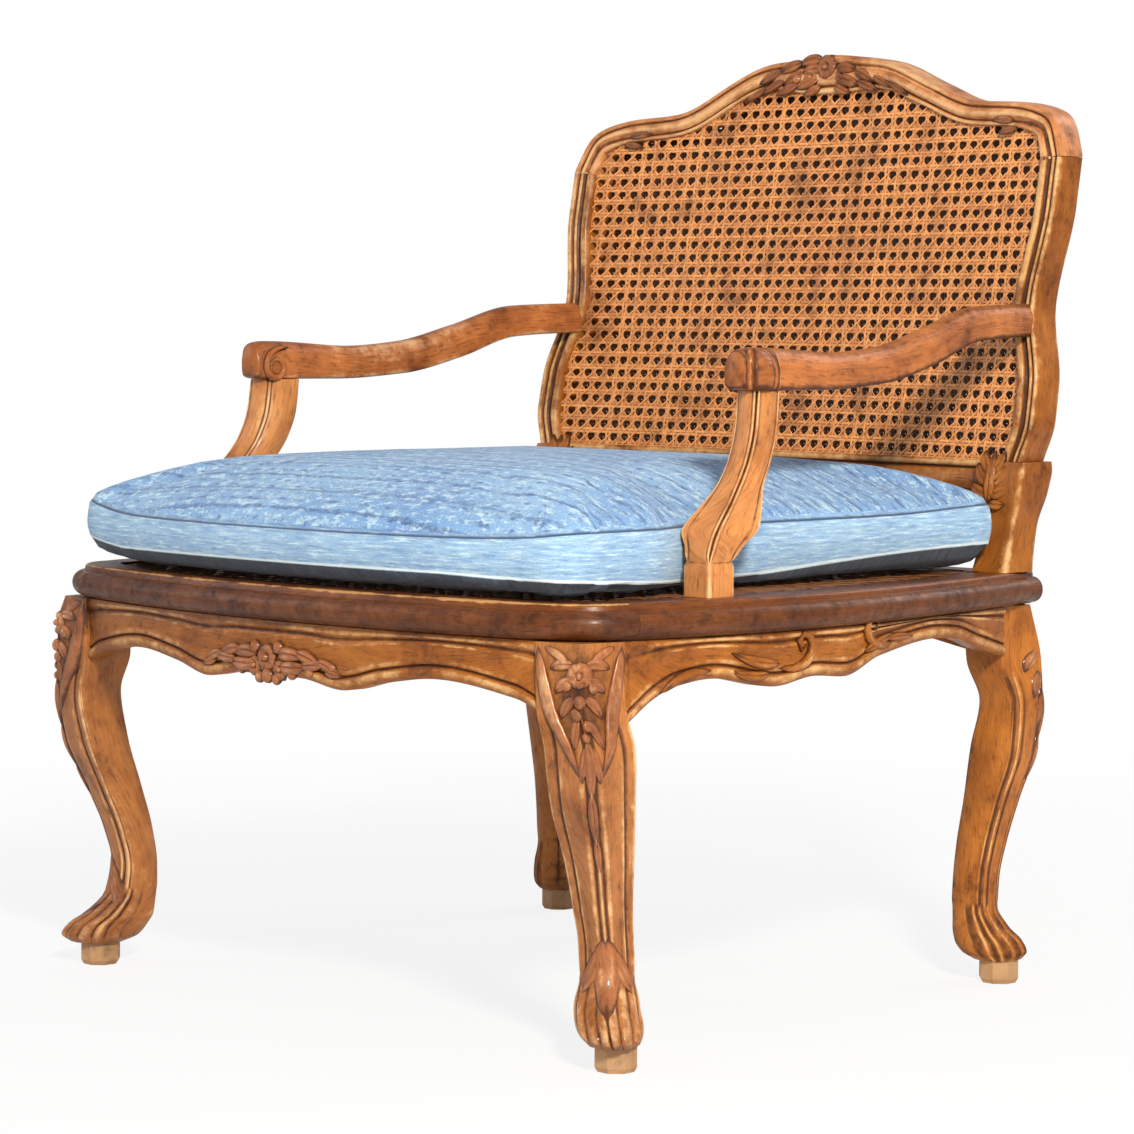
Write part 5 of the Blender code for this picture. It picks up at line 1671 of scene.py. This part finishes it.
@dataclass
class CanePanels:
    """The two caned panels of the back and the one of the seat."""

    back: BackFrame
    seat: SeatFrame
    front_depth: float = 0.0075
    rear_depth: float = 0.0335
    back_half: float = 0.306
    rear_shift: float = 0.0014
    back_low: float = 0.48854
    back_high: float = 0.879
    back_pitch: Pair = (0.0153, 0.01346)
    back_slant: float = 0.0019
    seat_z: float = 0.395
    seat_low: Pair = (-0.342, -0.036)
    seat_high: Pair = (0.342, 0.54)
    seat_pitch: Pair = (0.019, 0.018)
    seat_widths: Pair = (0.0044, 0.004)
    lap: float = 0.004

    def back_inside(self, x: Array, z: Array) -> Array:
        """Whether points of the back lie inside its frame's opening, with a small lap.

        Args:
            x: X of the points.
            z: Their heights.

        Returns:
            One flag for each point.
        """
        outer, inward, face, _ = self.back.crest_line()
        inner = outer + inward * (face * 0.9)[:, None]
        keep = np.concatenate([[True], np.diff(np.maximum.accumulate(inner[:, 0])) > 0])
        top = np.interp(x, inner[keep, 0], inner[keep, 1])
        sides = self.back.stile_x(z.ravel()).reshape(z.shape) - self.back.face * 0.86
        above = z > self.back.joint + self.back.stile_height
        return (z > self.back.rail_top - 0.006) & (z < top) & ((np.abs(x) < sides) | above)

    def seat_inside(self, x: Array, y: Array) -> Array:
        """Whether points of the seat lie inside the four rails, with a small lap.

        Args:
            x: X of the points.
            y: Their Y.

        Returns:
            One flag for each point.
        """
        inset = self.seat.rail_width - self.lap
        corner = np.clip((np.abs(x) - 0.27) / 0.06, 0.0, 1.0) ** 2 * 0.05
        level = (y > self.seat.front_nose(x) + inset + corner) & (y < self.seat.rear_y - inset)
        return (np.abs(x) < self.seat.side_nose(y) - inset) & level

    def make(self) -> None:
        """Weave the three panels."""
        # Each row gives the panel, its depth, shift and strand widths, and the strand corner that
        # gets painted shade.
        for end, depth, shift, widths, inner in (
            (End.FRONT, self.front_depth, 0.0, (0.0028, 0.0026), 1),
            (End.REAR, self.rear_depth, self.rear_shift, (0.0062, 0.005), 3),
        ):

            def place(x: Array, z: Array, height: Array, depth: float = depth) -> Array:
                """Points of this panel, lifted towards the front."""
                return self.back.point(x, z, depth - height)

            low = (shift - self.back_half, self.back_low)
            high = (shift + self.back_half, self.back_high)
            size = (self.back_pitch, widths, self.back_slant)
            weave = Weave(self.back_inside, place, low, high, *size, inner)
            dressed(f"{end.value}_back_cane", weave.skin(), CANE, [f"back_cane_{end.value}"])

        def lie(x: Array, y: Array, height: Array) -> Array:
            """Points of the seat's panel."""
            return np.stack([x, y, self.seat_z + height], axis=-1)

        size = (self.seat_low, self.seat_high, self.seat_pitch, self.seat_widths)
        weave = Weave(self.seat_inside, lie, *size)
        dressed("woven_seat", weave.skin(), PAINTED_SHADE_SEAT_CANE, ["seat_cane"])


# Carving


@dataclass(frozen=True)
class Leaf:
    """A carved leaf or petal: its foot and bearing on the host, its sizes, and its curl.

    The curl is spread evenly down the leaf, or towards its tip where wind is above 1.
    """

    u: float
    v: float
    bearing: float
    length: float
    width: float
    height: float = 0.0045
    curl: float = 0.0
    vein: float = 0.4
    wind: float = 1.0

    def mirrored(self) -> "Leaf":
        """The leaf on the other side of the host's middle."""
        return replace(self, u=-self.u, bearing=180.0 - self.bearing, curl=-self.curl)


def both(leaves: Sequence[Leaf]) -> list[Leaf]:
    """Leaves and their mirrored twins."""
    return [*leaves, *(leaf.mirrored() for leaf in leaves)]


def flower(u: float, v: float, radius: float, petals: int, turn: float = 0.0) -> list[Leaf]:
    """A rosette: petals round a bead.

    Args:
        u: Middle of the flower on its host, across.
        v: Middle of the flower on its host, up.
        radius: Reach of the petals.
        petals: How many there are.
        turn: Bearing of the first petal.

    Returns:
        The petals and the bead.
    """
    step = 360.0 / petals
    ring = []
    for number in range(petals):
        bearing = turn + step * number
        foot = 0.18 * radius
        du = foot * math.cos(math.radians(bearing))
        dv = foot * math.sin(math.radians(bearing))
        sizes = (radius * 0.9, radius * 1.15, radius * 0.45)
        ring.append(Leaf(u + du, v + dv, bearing, *sizes, 0.0, 0.35))
    bead = Leaf(u - 0.32 * radius, v, 0.0, 0.64 * radius, 0.64 * radius, radius * 0.55, 0.0, 0.0)
    return [*ring, bead]


def bud(u: float, v: float, radius: float) -> Leaf:
    """A round bead."""
    return Leaf(u - radius, v, 0.0, 2 * radius, 2 * radius, radius, 0.0, 0.0)


Host = Callable[[Array, Array, Array], Array]
LEAF_COLUMNS = 16
ROOT_DEPTH = 0.0022


def carve(leaves: Sequence[Leaf], host: Host, rows: int = 12) -> Skin:
    """Leaves as closed lenses on a host's surface.

    Down each leaf's curling spine, a half ring rises by the leaf's height times a rounded
    lens curve, with a hollow along the vein; the other half is sunk into the host.

    Args:
        leaves: The leaves.
        host: Gives points from two surface coordinates and a lift.
        rows: Rings down each leaf.

    Returns:
        The leaves' skin, darkest at the foot of their slopes.
    """
    table = np.array([astuple(leaf) for leaf in leaves])
    u, v, bearing, length, width, height, curl, vein, wind = table.T[:, :, None, None]
    t = np.linspace(0.0, 1.0, rows)[None, :, None]
    turn = full_turn(LEAF_COLUMNS)[None, None, :]
    heading = np.radians(bearing + curl * t**wind)
    step = length / (rows - 1)
    path_u = u + np.cumsum(step * np.cos(heading), axis=1) - step * np.cos(heading[:, :1])
    path_v = v + np.cumsum(step * np.sin(heading), axis=1) - step * np.sin(heading[:, :1])
    lens = np.maximum(np.sin(math.pi * t**0.8), 0.0) ** 0.7 + 0.05
    side = np.cos(turn) * lens * width / 2
    crest = np.maximum(np.sin(turn), 0.0) ** 0.8 * (1.0 - vein * bell(np.cos(turn), 0.0, 0.3))
    lift = np.where(np.sin(turn) > 0.0, height * lens * crest, ROOT_DEPTH * np.sin(turn) - 0.0004)
    points = host(path_u - np.sin(heading) * side, path_v + np.cos(heading) * side, lift)
    relief = np.clip(2.3 * lift / height - 1.55, -1.0, 0.5)
    return Skin().add(points, len(leaves), relief)


# A flower at the top of the crest, with leaves that trail down both slopes
CREST_SPRAY = [
    *both([
        Leaf(0.01, 0.888, 14.0, 0.028, 0.012, 0.0065, -36.0),
        Leaf(0.013, 0.879, -10.0, 0.032, 0.012, 0.0065, -12.0),
        Leaf(0.01, 0.872, -34.0, 0.024, 0.01, 0.0055, 24.0),
        Leaf(0.034, 0.885, -6.0, 0.03, 0.01, 0.0055, -32.0),
        Leaf(0.04, 0.875, -22.0, 0.032, 0.0095, 0.0055, 4.0),
        Leaf(0.06, 0.879, -18.0, 0.032, 0.0085, 0.0045, -12.0),
        Leaf(0.082, 0.873, -26.0, 0.034, 0.007, 0.0035, -4.0),
        Leaf(0.262, 0.826, 166.0, 0.03, 0.008, 0.003, 18.0),
        Leaf(0.268, 0.819, 182.0, 0.026, 0.007, 0.003, 14.0),
    ]),
    Leaf(-0.012, 0.899, 176.0, 0.03, 0.012, 0.0065, 22.0),
    Leaf(-0.038, 0.896, 188.0, 0.032, 0.012, 0.006, 18.0),
    Leaf(-0.064, 0.89, 200.0, 0.034, 0.011, 0.005, 8.0),
    *flower(-0.004, 0.891, 0.0125, 7, 12.0),
    *flower(-0.024, 0.882, 0.0095, 6),
    *flower(0.018, 0.881, 0.0085, 5, 30.0),
    bud(-0.042, 0.88, 0.0055),
    bud(-0.052, 0.872, 0.0045),
    bud(0.034, 0.873, 0.005),
]
# Flowers and buds in the middle of the front apron, with leaves to both sides
FRONT_SPRAY = [
    *both([
        Leaf(0.014, 0.334, 14.0, 0.036, 0.013, 0.007, -30.0),
        Leaf(0.016, 0.325, -12.0, 0.038, 0.0125, 0.007, 26.0),
        Leaf(0.038, 0.337, 0.0, 0.034, 0.011, 0.006, -30.0),
        Leaf(0.044, 0.327, -4.0, 0.036, 0.01, 0.0055, 20.0),
        Leaf(0.066, 0.332, -10.0, 0.03, 0.009, 0.0045, -20.0),
        Leaf(0.076, 0.324, -16.0, 0.022, 0.007, 0.004, 10.0),
    ]),
    *flower(0.0, 0.331, 0.0125, 6, 20.0),
    *flower(-0.018, 0.323, 0.0095, 5, 40.0),
    *flower(0.018, 0.321, 0.0095, 5),
    bud(0.002, 0.315, 0.007),
    bud(-0.01, 0.313, 0.0055),
    bud(0.013, 0.312, 0.005),
    bud(-0.016, 0.34, 0.006),
    bud(0.016, 0.341, 0.006),
    bud(0.034, 0.318, 0.005),
    bud(-0.036, 0.319, 0.005),
    bud(0.058, 0.321, 0.0045),
    bud(0.086, 0.327, 0.0042),
]
# Two scrolls with a few leaves on the right apron
SIDE_SPRAY = [
    Leaf(0.17, 0.333, -6.0, 0.096, 0.0085, 0.0055, 400.0, 0.1, 2.6),
    Leaf(0.172, 0.337, 182.0, 0.058, 0.01, 0.005, -26.0),
    Leaf(0.16, 0.329, 192.0, 0.048, 0.0085, 0.0045, -34.0),
    Leaf(0.33, 0.346, 188.0, 0.09, 0.0085, 0.0055, -380.0, 0.1, 2.6),
    Leaf(0.286, 0.34, 22.0, 0.05, 0.009, 0.0045, -10.0),
    Leaf(0.318, 0.35, 4.0, 0.05, 0.0075, 0.004, -10.0),
    Leaf(0.04, 0.318, 44.0, 0.06, 0.0085, 0.005, -50.0, 0.1),
]
# The right half of a knee's cartouche, and the leaves down the arris
FRONDS = [
    Leaf(0.0355, 0.362, -95.0, 0.118, 0.0115, 0.0065, -16.0, 0.0),
    Leaf(0.03, 0.36, 196.0, 0.03, 0.008, 0.0045, 40.0, 0.2),
    Leaf(0.005, 0.346, 20.0, 0.022, 0.01, 0.005, -60.0),
    Leaf(0.005, 0.334, -6.0, 0.021, 0.0095, 0.005, -60.0),
    Leaf(0.004, 0.32, -34.0, 0.024, 0.009, 0.005, -40.0),
    Leaf(0.003, 0.302, -58.0, 0.03, 0.008, 0.0045, -24.0),
    Leaf(0.002, 0.28, -74.0, 0.036, 0.0075, 0.004, -10.0),
]
SPINE = [
    Leaf(0.0, 0.286, -90.0, 0.056, 0.01, 0.005),
    Leaf(0.0, 0.24, -90.0, 0.048, 0.0085, 0.0045),
    Leaf(0.0, 0.2, -90.0, 0.034, 0.006, 0.004),
]
REAR_KNEE = [*both(FRONDS[4:]), *SPINE[:2]]
# A front leg also has leaves on its toe, and berries and a flower on its knee
FRONT_KNEE = [
    *both(FRONDS),
    *SPINE,
    Leaf(0.0, 0.112, -90.0, 0.07, 0.024, 0.0048),
    *both([Leaf(0.004, 0.104, -72.0, 0.05, 0.011, 0.004, 14.0)]),
    bud(0.0, 0.316, 0.0062),
    bud(-0.004, 0.305, 0.0056),
    bud(0.004, 0.296, 0.005),
    bud(-0.011, 0.329, 0.0052),
    bud(0.012, 0.327, 0.0052),
    bud(0.0, 0.286, 0.0042),
    *flower(0.0, 0.338, 0.0115, 6, 15.0),
]
# An acanthus leaf at the top of a lower stile, by its distance from the leaf's middle
STILE_LEAF = [
    *both([
        Leaf(0.001, 0.478, 26.0, 0.028, 0.013, 0.005, 40.0),
        Leaf(0.001, 0.487, 48.0, 0.026, 0.012, 0.005, 30.0),
        Leaf(0.001, 0.468, 4.0, 0.026, 0.012, 0.0045, 40.0),
        Leaf(0.001, 0.461, -24.0, 0.02, 0.01, 0.004, 40.0),
    ]),
    Leaf(0.0, 0.46, 90.0, 0.05, 0.014, 0.0065),
]
VOLUTE = [Leaf(0.207, 0.6035, 176.0, 0.118, 0.0072, 0.004, 600.0, 0.0, 1.7)]


@dataclass
class Carving:
    """The carved flowers and leaves, each on the piece that carries it."""

    back: BackFrame
    seat: SeatFrame
    arms: Arms
    back_set: float = 0.0022
    apron_set: float = 0.0014
    stile_set: float = 0.0205
    stile_leaf_x: float = 0.2985
    volute_set: float = 0.016
    volute_rows: int = 60

    def on_back(self, x: Array, z: Array, lift: Array) -> Array:
        """Points on the front of the back frame."""
        return self.back.point(x, z, self.back_set - lift)

    def on_front_apron(self, x: Array, z: Array, lift: Array) -> Array:
        """Points on the front apron's face."""
        y = self.seat.front_nose(x) + self.seat.nosing + self.apron_set - lift
        return np.stack([x, y, z], axis=-1)

    def on_side_apron(self, y: Array, z: Array, lift: Array) -> Array:
        """Points on the right apron's face."""
        x = self.seat.side_nose(y) - self.seat.nosing - self.apron_set + lift
        return np.stack([x, y, z], axis=-1)

    def on_lower_stile(self, x: Array, z: Array, lift: Array) -> Array:
        """Points on the front of the right lower stile."""
        return np.stack([x, self.back.lower_y(z) - self.stile_set - lift, z], axis=-1)

    def on_arm(self, y: Array, z: Array, lift: Array) -> Array:
        """Points on the inner side of the right arm's front end."""
        return np.stack([self.arms.front_x - self.volute_set - lift, y, z], axis=-1)

    def make(self) -> None:
        """Carve every group."""
        dressed("crest_carving", carve(CREST_SPRAY, self.on_back), CARVED)
        dressed("front_apron_carving", carve(FRONT_SPRAY, self.on_front_apron), CARVED)
        acanthus = [replace(leaf, u=leaf.u + self.stile_leaf_x) for leaf in STILE_LEAF]
        for side in Side:

            def turned(host: Host, side: Side = side) -> Host:
                """A right-hand host, mirrored for this side."""
                return lambda u, v, lift: mirrored(host(u, v, lift), side)

            spray = carve(SIDE_SPRAY, turned(self.on_side_apron))
            dressed(f"{side.word}_apron_carving", spray, WAXED)
            volute = carve(VOLUTE, turned(self.on_arm), self.volute_rows)
            dressed(f"{side.word}_arm_volute", volute, ARM_WOOD)
            leaf = carve(acanthus, turned(self.on_lower_stile))
            dressed(f"{side.word}_stile_leaf", leaf, WAXED)
            for leg, knee in ((FRONT_LEG, FRONT_KNEE), (REAR_LEG, REAR_KNEE)):
                skin = carve(knee, turned(leg.on_arris))
                dressed(f"{leg.end.value}_{side.word}_knee_carving", skin, CARVED)


# Cushion


class Panel(IntEnum):
    """A panel of the cushion's cover."""

    UNDER = 0
    BOXING = 1
    TOP = 2


@dataclass
class Cushion:
    """The loose boxed cushion: a crowned top, a boxing between two seams, a flatter underside."""

    seat: SeatFrame
    front_y: float = -0.077
    rear_y: float = 0.5405
    front_half: float = 0.339
    waist_half: float = 0.318
    corner: float = 0.04
    rear_corner: float = 0.01
    post_front_y: float = 0.057
    waist_y: float = 0.14
    low: float = 0.3988
    under: float = 0.0175
    boxing: float = 0.038
    crown: float = 0.0505
    front_dip: float = 0.008
    post_dip: float = 0.01
    rear_stand: float = 0.006
    rear_lift: float = 0.007
    corner_lift: float = 0.0065
    bulge: float = 0.003
    columns: int = 240
    swell_cap: float = 0.006
    frames: int = 20
    pressure: float = 4.0

    def outline(self) -> Array:
        """Plan of the seam, anticlockwise from the middle of the front.

        A parabola along the front, rounded corners, sides that draw in beside the arm posts, and
        a straight rear.

        Returns:
            The points, at equal steps.
        """
        front = np.linspace(0.0, self.front_half - self.corner, 20)
        nose = self.front_y + self.seat.bow * (front / self.seat.bow_half) ** 2
        line = [np.stack([front, nose], axis=1)]
        turn = np.linspace(0.0, math.pi / 2, 12)[1:]
        side_y = line[0][-1, 1] + self.corner
        arc = self.corner * np.stack([np.sin(turn), -np.cos(turn)], axis=1)
        line.append(arc + (self.front_half - self.corner, side_y))
        stop = self.rear_y - self.rear_corner
        ys = np.linspace(side_y, stop, 40)[1:]
        keys = (
            (side_y, self.front_half),
            (self.post_front_y, self.front_half),
            (self.waist_y, self.waist_half),
            (stop, self.waist_half),
        )
        line.append(np.stack([eased(keys, ys)[:, 0], ys], axis=1))
        arc = self.rear_corner * np.stack([np.cos(turn), np.sin(turn)], axis=1)
        line.append(arc + (self.waist_half - self.rear_corner, stop))
        back = np.linspace(self.waist_half - self.rear_corner, 0.0, 20)[1:]
        line.append(np.stack([back, np.full_like(back, self.rear_y)], axis=1))
        right = np.vstack(line)
        left = (right * (-1.0, 1.0))[-2:0:-1]
        return resampled(np.vstack([right, left]), self.columns, closed=True)

    def rows(self) -> Array:
        """Rings from the middle of the underside, up the boxing, to the middle of the top.

        The underside falls away from its seam by the root of a high power, the boxing bulges by
        a sine, and the crown mixes a full edge with a parabola.

        Returns:
            For each ring its share of the plan, its height, how far it bulges, its panel, and its
            seam, which is 1 at the piping and -1 at the top.
        """
        seam = self.low + self.under
        top = seam + self.boxing
        flat = np.array([0.04, 0.3, 0.55, 0.72, 0.84, 0.91, 0.95, 0.975, 0.99])
        under = [(s, seam - self.under * (1 - s**60) ** 0.5, 0.0, Panel.UNDER, 0.0) for s in flat]
        under.append((0.9988, seam - 0.0012, 0.0, Panel.UNDER, 0.0))
        rise = np.array([0.0, 0.045, 0.085, 0.15, 0.27, 0.4, 0.55, 0.7, 0.83, 0.92, 0.965])
        piping = np.array([1.0, 0.95, 0.45, *np.zeros(len(rise) - 3)])
        boxing = [
            (1.0, seam + self.boxing * r, self.bulge * math.sin(math.pi * r), Panel.BOXING, p)
            for r, p in zip(rise, piping)
        ]
        crown = np.array([
            0.993, 0.985, 0.965, 0.93, 0.88, 0.82, 0.75, 0.66,
            0.56, 0.45, 0.33, 0.2, 0.08, 0.02, 0.004,
        ])
        dome = top + self.crown * (0.55 * (1 - crown**8) ** 0.5 + 0.45 * (1 - crown**2))
        domed = [(s, z, 0.0, Panel.TOP, 0.0) for s, z in zip(crown, dome)]
        return np.array([*under, *boxing, (0.9965, top, 0.0, Panel.BOXING, -1.0), *domed]).T

    def grid(self) -> Array:
        """The sewn shape before it is filled: the seam's plan scaled about its middle, by ring.

        Returns:
            The grid.
        """
        middle = np.array([0.0, (self.front_y + self.rear_y) / 2])
        reach = self.outline() - middle
        share, height, bulge = self.rows()[:3, :, None]
        flat = middle + reach * share[..., None] + unit(reach) * bulge[..., None]
        z = np.maximum(height + self.give(flat), self.low)
        return np.concatenate([flat, z[..., None]], axis=2)

    def give(self, flat: Array) -> Array:
        """Rise and fall of the seams where the cover gives.

        The top seam dips along the front and stands up at the rear corners, the bottom seam dips
        beside the arm posts and lifts behind them, and both seams lift at the left front corner.
        Each is a product of bell curves in plan, and fades away from its seam by a power of the
        ring's share of the plan.

        Args:
            flat: Plan points by ring.

        Returns:
            The change of height of each point.
        """
        x, y = np.abs(flat[..., 0]), flat[..., 1]
        share, height, _, panel, _ = self.rows()[..., None]
        rise = np.clip((height - self.low - self.under) / self.boxing, 0.0, 1.0)
        upper = np.where(panel == Panel.TOP, share**6, rise)
        lower = np.where(panel == Panel.UNDER, share**8, 1.0 - rise)
        brim = np.where(panel == Panel.UNDER, share**40, 1.0 - rise)
        front = bell(y, self.front_y, 0.08) * (1.0 - np.clip(x / self.front_half, 0.0, 1.0) ** 8)
        outer = np.clip((x - 0.2) / 0.1, 0.0, 1.0)
        posts = bell(y, self.waist_y, 0.17) * outer
        behind = bell(y, self.rear_y, 0.2) * outer
        rear = bell(y, self.rear_y, 0.09) * bell(x, self.waist_half, 0.1)
        corner = bell(y, self.front_y + 0.03, 0.06) * bell(flat[..., 0], -self.front_half, 0.06)
        lift = self.corner_lift * corner * np.maximum(upper, 1.8 * lower)
        low = brim * self.rear_lift * behind - lower * self.post_dip * posts
        return lift + upper * (self.rear_stand * rear - self.front_dip * front) + low

    def cloth_map(self, mesh: bpy.types.Mesh, grid: Array) -> None:
        """Lay the cloth's own map: the plan above and below, length and height on the boxing.

        Args:
            mesh: The cover's mesh.
            grid: Its grid before it is filled.
        """
        *_, panel, seam = self.rows()
        count = self.columns
        ring = grid[np.argmax(seam)]
        edge = np.linalg.norm(np.diff(np.vstack([ring, ring[:1]]), axis=0), axis=1)
        length = np.concatenate([[0.0], np.cumsum(edge)])
        first = np.arange(len(grid) - 1)[:, None]
        column = np.arange(count)[None]
        boxing = (panel[:-1] == Panel.BOXING)[:, None]
        corners = []
        for r, c in ((0, 0), (0, 1), (1, 1), (1, 0)):
            spot = grid[first + r, (column + c) % count]
            side = np.stack(np.broadcast_arrays(length[column + c], spot[..., 2]), axis=-1)
            corners.append(np.where(boxing[..., None], side, spot[..., :2]))
        uv = np.stack(corners, axis=2).reshape(-1, 2)
        data = mesh.uv_layers["grain"].data
        spare = np.zeros((len(data) - len(uv), 2))
        data.foreach_set("uv", np.vstack([uv, spare]).ravel())

    def fill(self, piece: bpy.types.Object) -> None:
        """Blow the cover up a little with a cloth simulation, its seams held, and keep the result.

        No point moves further than the cap, and the middles of both panels move as one.

        Args:
            piece: The cover.
        """
        mesh = piece.data
        rest = np.empty(len(mesh.vertices) * 3)
        mesh.vertices.foreach_get("co", rest)
        rest = rest.reshape(-1, 3)
        share, _, _, panel, seam = self.rows()
        held = np.repeat(np.abs(seam) > 0.5, self.columns)
        group = piece.vertex_groups.new(name="seams")
        group.add(np.nonzero(held)[0].tolist(), 1.0, "REPLACE")
        change = piece.modifiers.new("filling", "CLOTH")
        settings = change.settings
        settings.quality = 6
        settings.mass = 0.25
        settings.tension_stiffness = 18.0
        settings.compression_stiffness = 12.0
        settings.shear_stiffness = 8.0
        settings.bending_stiffness = 0.6
        settings.use_pressure = True
        settings.uniform_pressure_force = self.pressure
        settings.vertex_group_mass = group.name
        settings.effector_weights.gravity = 0.0
        change.collision_settings.use_collision = False
        scene = bpy.context.scene
        for number in range(1, self.frames + 1):
            scene.frame_set(number)
        shown = piece.evaluated_get(bpy.context.evaluated_depsgraph_get()).to_mesh()
        moved = np.empty(len(rest) * 3)
        shown.vertices.foreach_get("co", moved)
        step = moved.reshape(-1, 3) - rest
        far = np.maximum(np.linalg.norm(step, axis=1, keepdims=True), 1e-9)
        step = step * np.minimum(1.0, self.swell_cap / far)
        rings = step.reshape(len(panel), self.columns, 3)
        calm = (panel != Panel.BOXING) & (share < 0.5)
        crown = (panel == Panel.TOP) & ~calm
        even = rings[crown][-1].mean(axis=0)
        rings[calm] = np.where(panel[calm, None, None] == Panel.TOP, even, 0.0)
        step[:, 2] = np.maximum(step[:, 2], self.low + 0.0002 - rest[:, 2])
        piece.modifiers.remove(change)
        piece.vertex_groups.remove(group)
        scene.frame_set(1)
        mesh.vertices.foreach_set("co", (rest + step).ravel())
        mesh.update()

    def make(self) -> None:
        """Make the cushion."""
        grid = self.grid()
        nodes = ["cushion_cover", "cushion_foam", "cushion_zip"]
        piece = dressed("seat_cushion", Skin().add(grid), DENIM, nodes, Body.CUSHION)
        self.cloth_map(piece.data, grid)
        *_, panel, seam = self.rows()
        for label, values in (
            ("seam", seam),
            ("under", panel == Panel.UNDER),
            ("boxed", panel == Panel.BOXING),
        ):
            attribute = piece.data.attributes.new(label, "FLOAT", "POINT")
            attribute.data.foreach_set("value", np.repeat(values.astype(np.float32), self.columns))
        self.fill(piece)


# Stage


@dataclass
class Stage:
    """The pale floor, the studio light and the camera."""

    lens: float = 119.54
    sensor: float = 36.0
    position: Triple = (2.5967, -2.2161, 0.6378)
    azimuth: float = 46.036
    elevation: float = 3.838
    roll: float = 0.262
    floor_half: float = 30.0
    near: float = 0.7
    far: float = 2.2
    floor_paint: Colour = (0.86, 0.86, 0.86)
    floor_glow: float = 0.84
    sky: Colour = (0.95, 0.97, 1.0)
    sky_strength: float = 0.42
    aim: Triple = (0.0, 0.0, 0.45)

    def turned(self, axes: Sequence[Array], at: Sequence[float]) -> Matrix:
        """The matrix of an object by its axes to the right, up and back, and its place."""
        turn = Matrix([[*row] for row in np.stack(axes, axis=1)])
        return Matrix.Translation(at) @ turn.to_4x4()

    def camera(self) -> None:
        """Set the camera at the photograph's place and angle."""
        data = bpy.data.cameras.new("camera")
        data.lens = self.lens
        data.sensor_width = self.sensor
        made = hung("camera", data)
        a, e, r = (math.radians(v) for v in (self.azimuth, self.elevation, self.roll))
        back = np.array([math.sin(a) * math.cos(e), -math.cos(a) * math.cos(e), math.sin(e)])
        right = np.array([math.cos(a), math.sin(a), 0.0])
        up = np.cross(back, right)
        axes = [
            math.cos(r) * right + math.sin(r) * up,
            math.cos(r) * up - math.sin(r) * right,
            back,
        ]
        made.matrix_world = self.turned(axes, np.array(self.position) + (0.0, FEET_Y, 0.0))
        bpy.context.scene.camera = made

    def floor(self) -> None:
        """Lay a white floor that keeps the chair's shadow."""
        half = self.floor_half
        mesh = bpy.data.meshes.new("floor")
        corners = [(-half, -half, 0.0), (half, -half, 0.0), (half, half, 0.0), (-half, half, 0.0)]
        mesh.from_pydata(corners, [], [(0, 1, 2, 3)])
        made = hung("floor", mesh)
        shader = Shader("floor_paint")
        shader.finish({"Base Color": self.floor_paint, "Roughness": 0.8})
        path = shader.node("ShaderNodeLightPath")
        length = shader.node("ShaderNodeVectorMath", {"operation": "LENGTH"}, {0: shader.place()})
        far = shader.step(shader.out(length, "Value"), self.near, self.far)
        glow = shader.node("ShaderNodeEmission", {}, {"Color": WHITE, "Strength": 1.0})
        lit = self.floor_glow + (1.0 - self.floor_glow) * far
        seen = shader.out(path, "Is Camera Ray") * lit
        ends = {0: seen, 1: shader.out(shader.surface), 2: shader.out(glow)}
        blend = shader.node("ShaderNodeMixShader", {}, ends)
        shader.feed(shader.end.inputs["Surface"], shader.out(blend))
        mesh.materials.append(shader.material)

    def world(self) -> None:
        """Light the chair softly from all round, with white behind it."""
        world = bpy.data.worlds.new("studio")
        bpy.context.scene.world = world
        nodes = Nodes(world)
        path = nodes.node("ShaderNodeLightPath")
        straight = nodes.out(path, "Is Camera Ray")
        seen = nodes.math("MAXIMUM", straight, nodes.out(path, "Is Transmission Ray"))
        sky = {"Color": self.sky, "Strength": self.sky_strength}
        soft = nodes.out(nodes.node("ShaderNodeBackground", {}, sky))
        white = nodes.out(nodes.node("ShaderNodeBackground", {}, {"Color": WHITE}))
        blend = nodes.node("ShaderNodeMixShader", {}, {0: seen, 1: soft, 2: white})
        nodes.node("ShaderNodeOutputWorld", {}, {"Surface": nodes.out(blend)})

    def lamp(self, name: str, at: Triple, size: float, power: float, colour: Colour) -> None:
        """Hang an area lamp that looks at the chair's middle.

        Args:
            name: The lamp's name.
            at: Where it hangs.
            size: Side of its square.
            power: Its power in watts.
            colour: Its colour.
        """
        data = bpy.data.lights.new(name, "AREA")
        data.size = size
        data.energy = power
        data.color = colour
        back = unit(np.array(at) - np.array(self.aim))
        right = unit(np.cross([0.0, 0.0, 1.0], back))
        hung(name, data).matrix_world = self.turned([right, np.cross(back, right), back], at)

    def make(self) -> None:
        """Set up the floor, the light and the camera."""
        self.camera()
        self.floor()
        self.world()
        self.lamp("key", (3.0, -1.9, 2.3), 0.45, 170.0, (1.0, 0.95, 0.87))
        self.lamp("fill", (-2.6, -2.2, 1.8), 2.0, 22.0, (0.95, 0.97, 1.0))
        self.lamp("rim", (0.6, 2.8, 2.4), 1.6, 25.0, (1.0, 0.98, 0.95))
        bpy.context.scene.view_settings.view_transform = "Standard"


def dress_pads() -> None:
    """Give the faceted foot pads their worn wood."""
    for end in End:
        for side in Side:
            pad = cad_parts[f"foot_pad_{end.value}_{side.word}"]
            pad.data.materials.clear()
            pad.data.materials.append(PALE.material())


def main() -> None:
    """Build the chair piece by piece."""
    logging.basicConfig(level=logging.INFO, format="%(name)s %(message)s")
    Stage().make()
    seat = SeatFrame()
    back = BackFrame()
    seat.make()
    FRONT_LEG.make()
    REAR_LEG.make()
    back.make()
    arms = Arms(back)
    arms.make()
    CanePanels(back, seat).make()
    Carving(back, seat, arms).make()
    Cushion(seat).make()
    dress_pads()


if __name__ == "__main__":
    main()
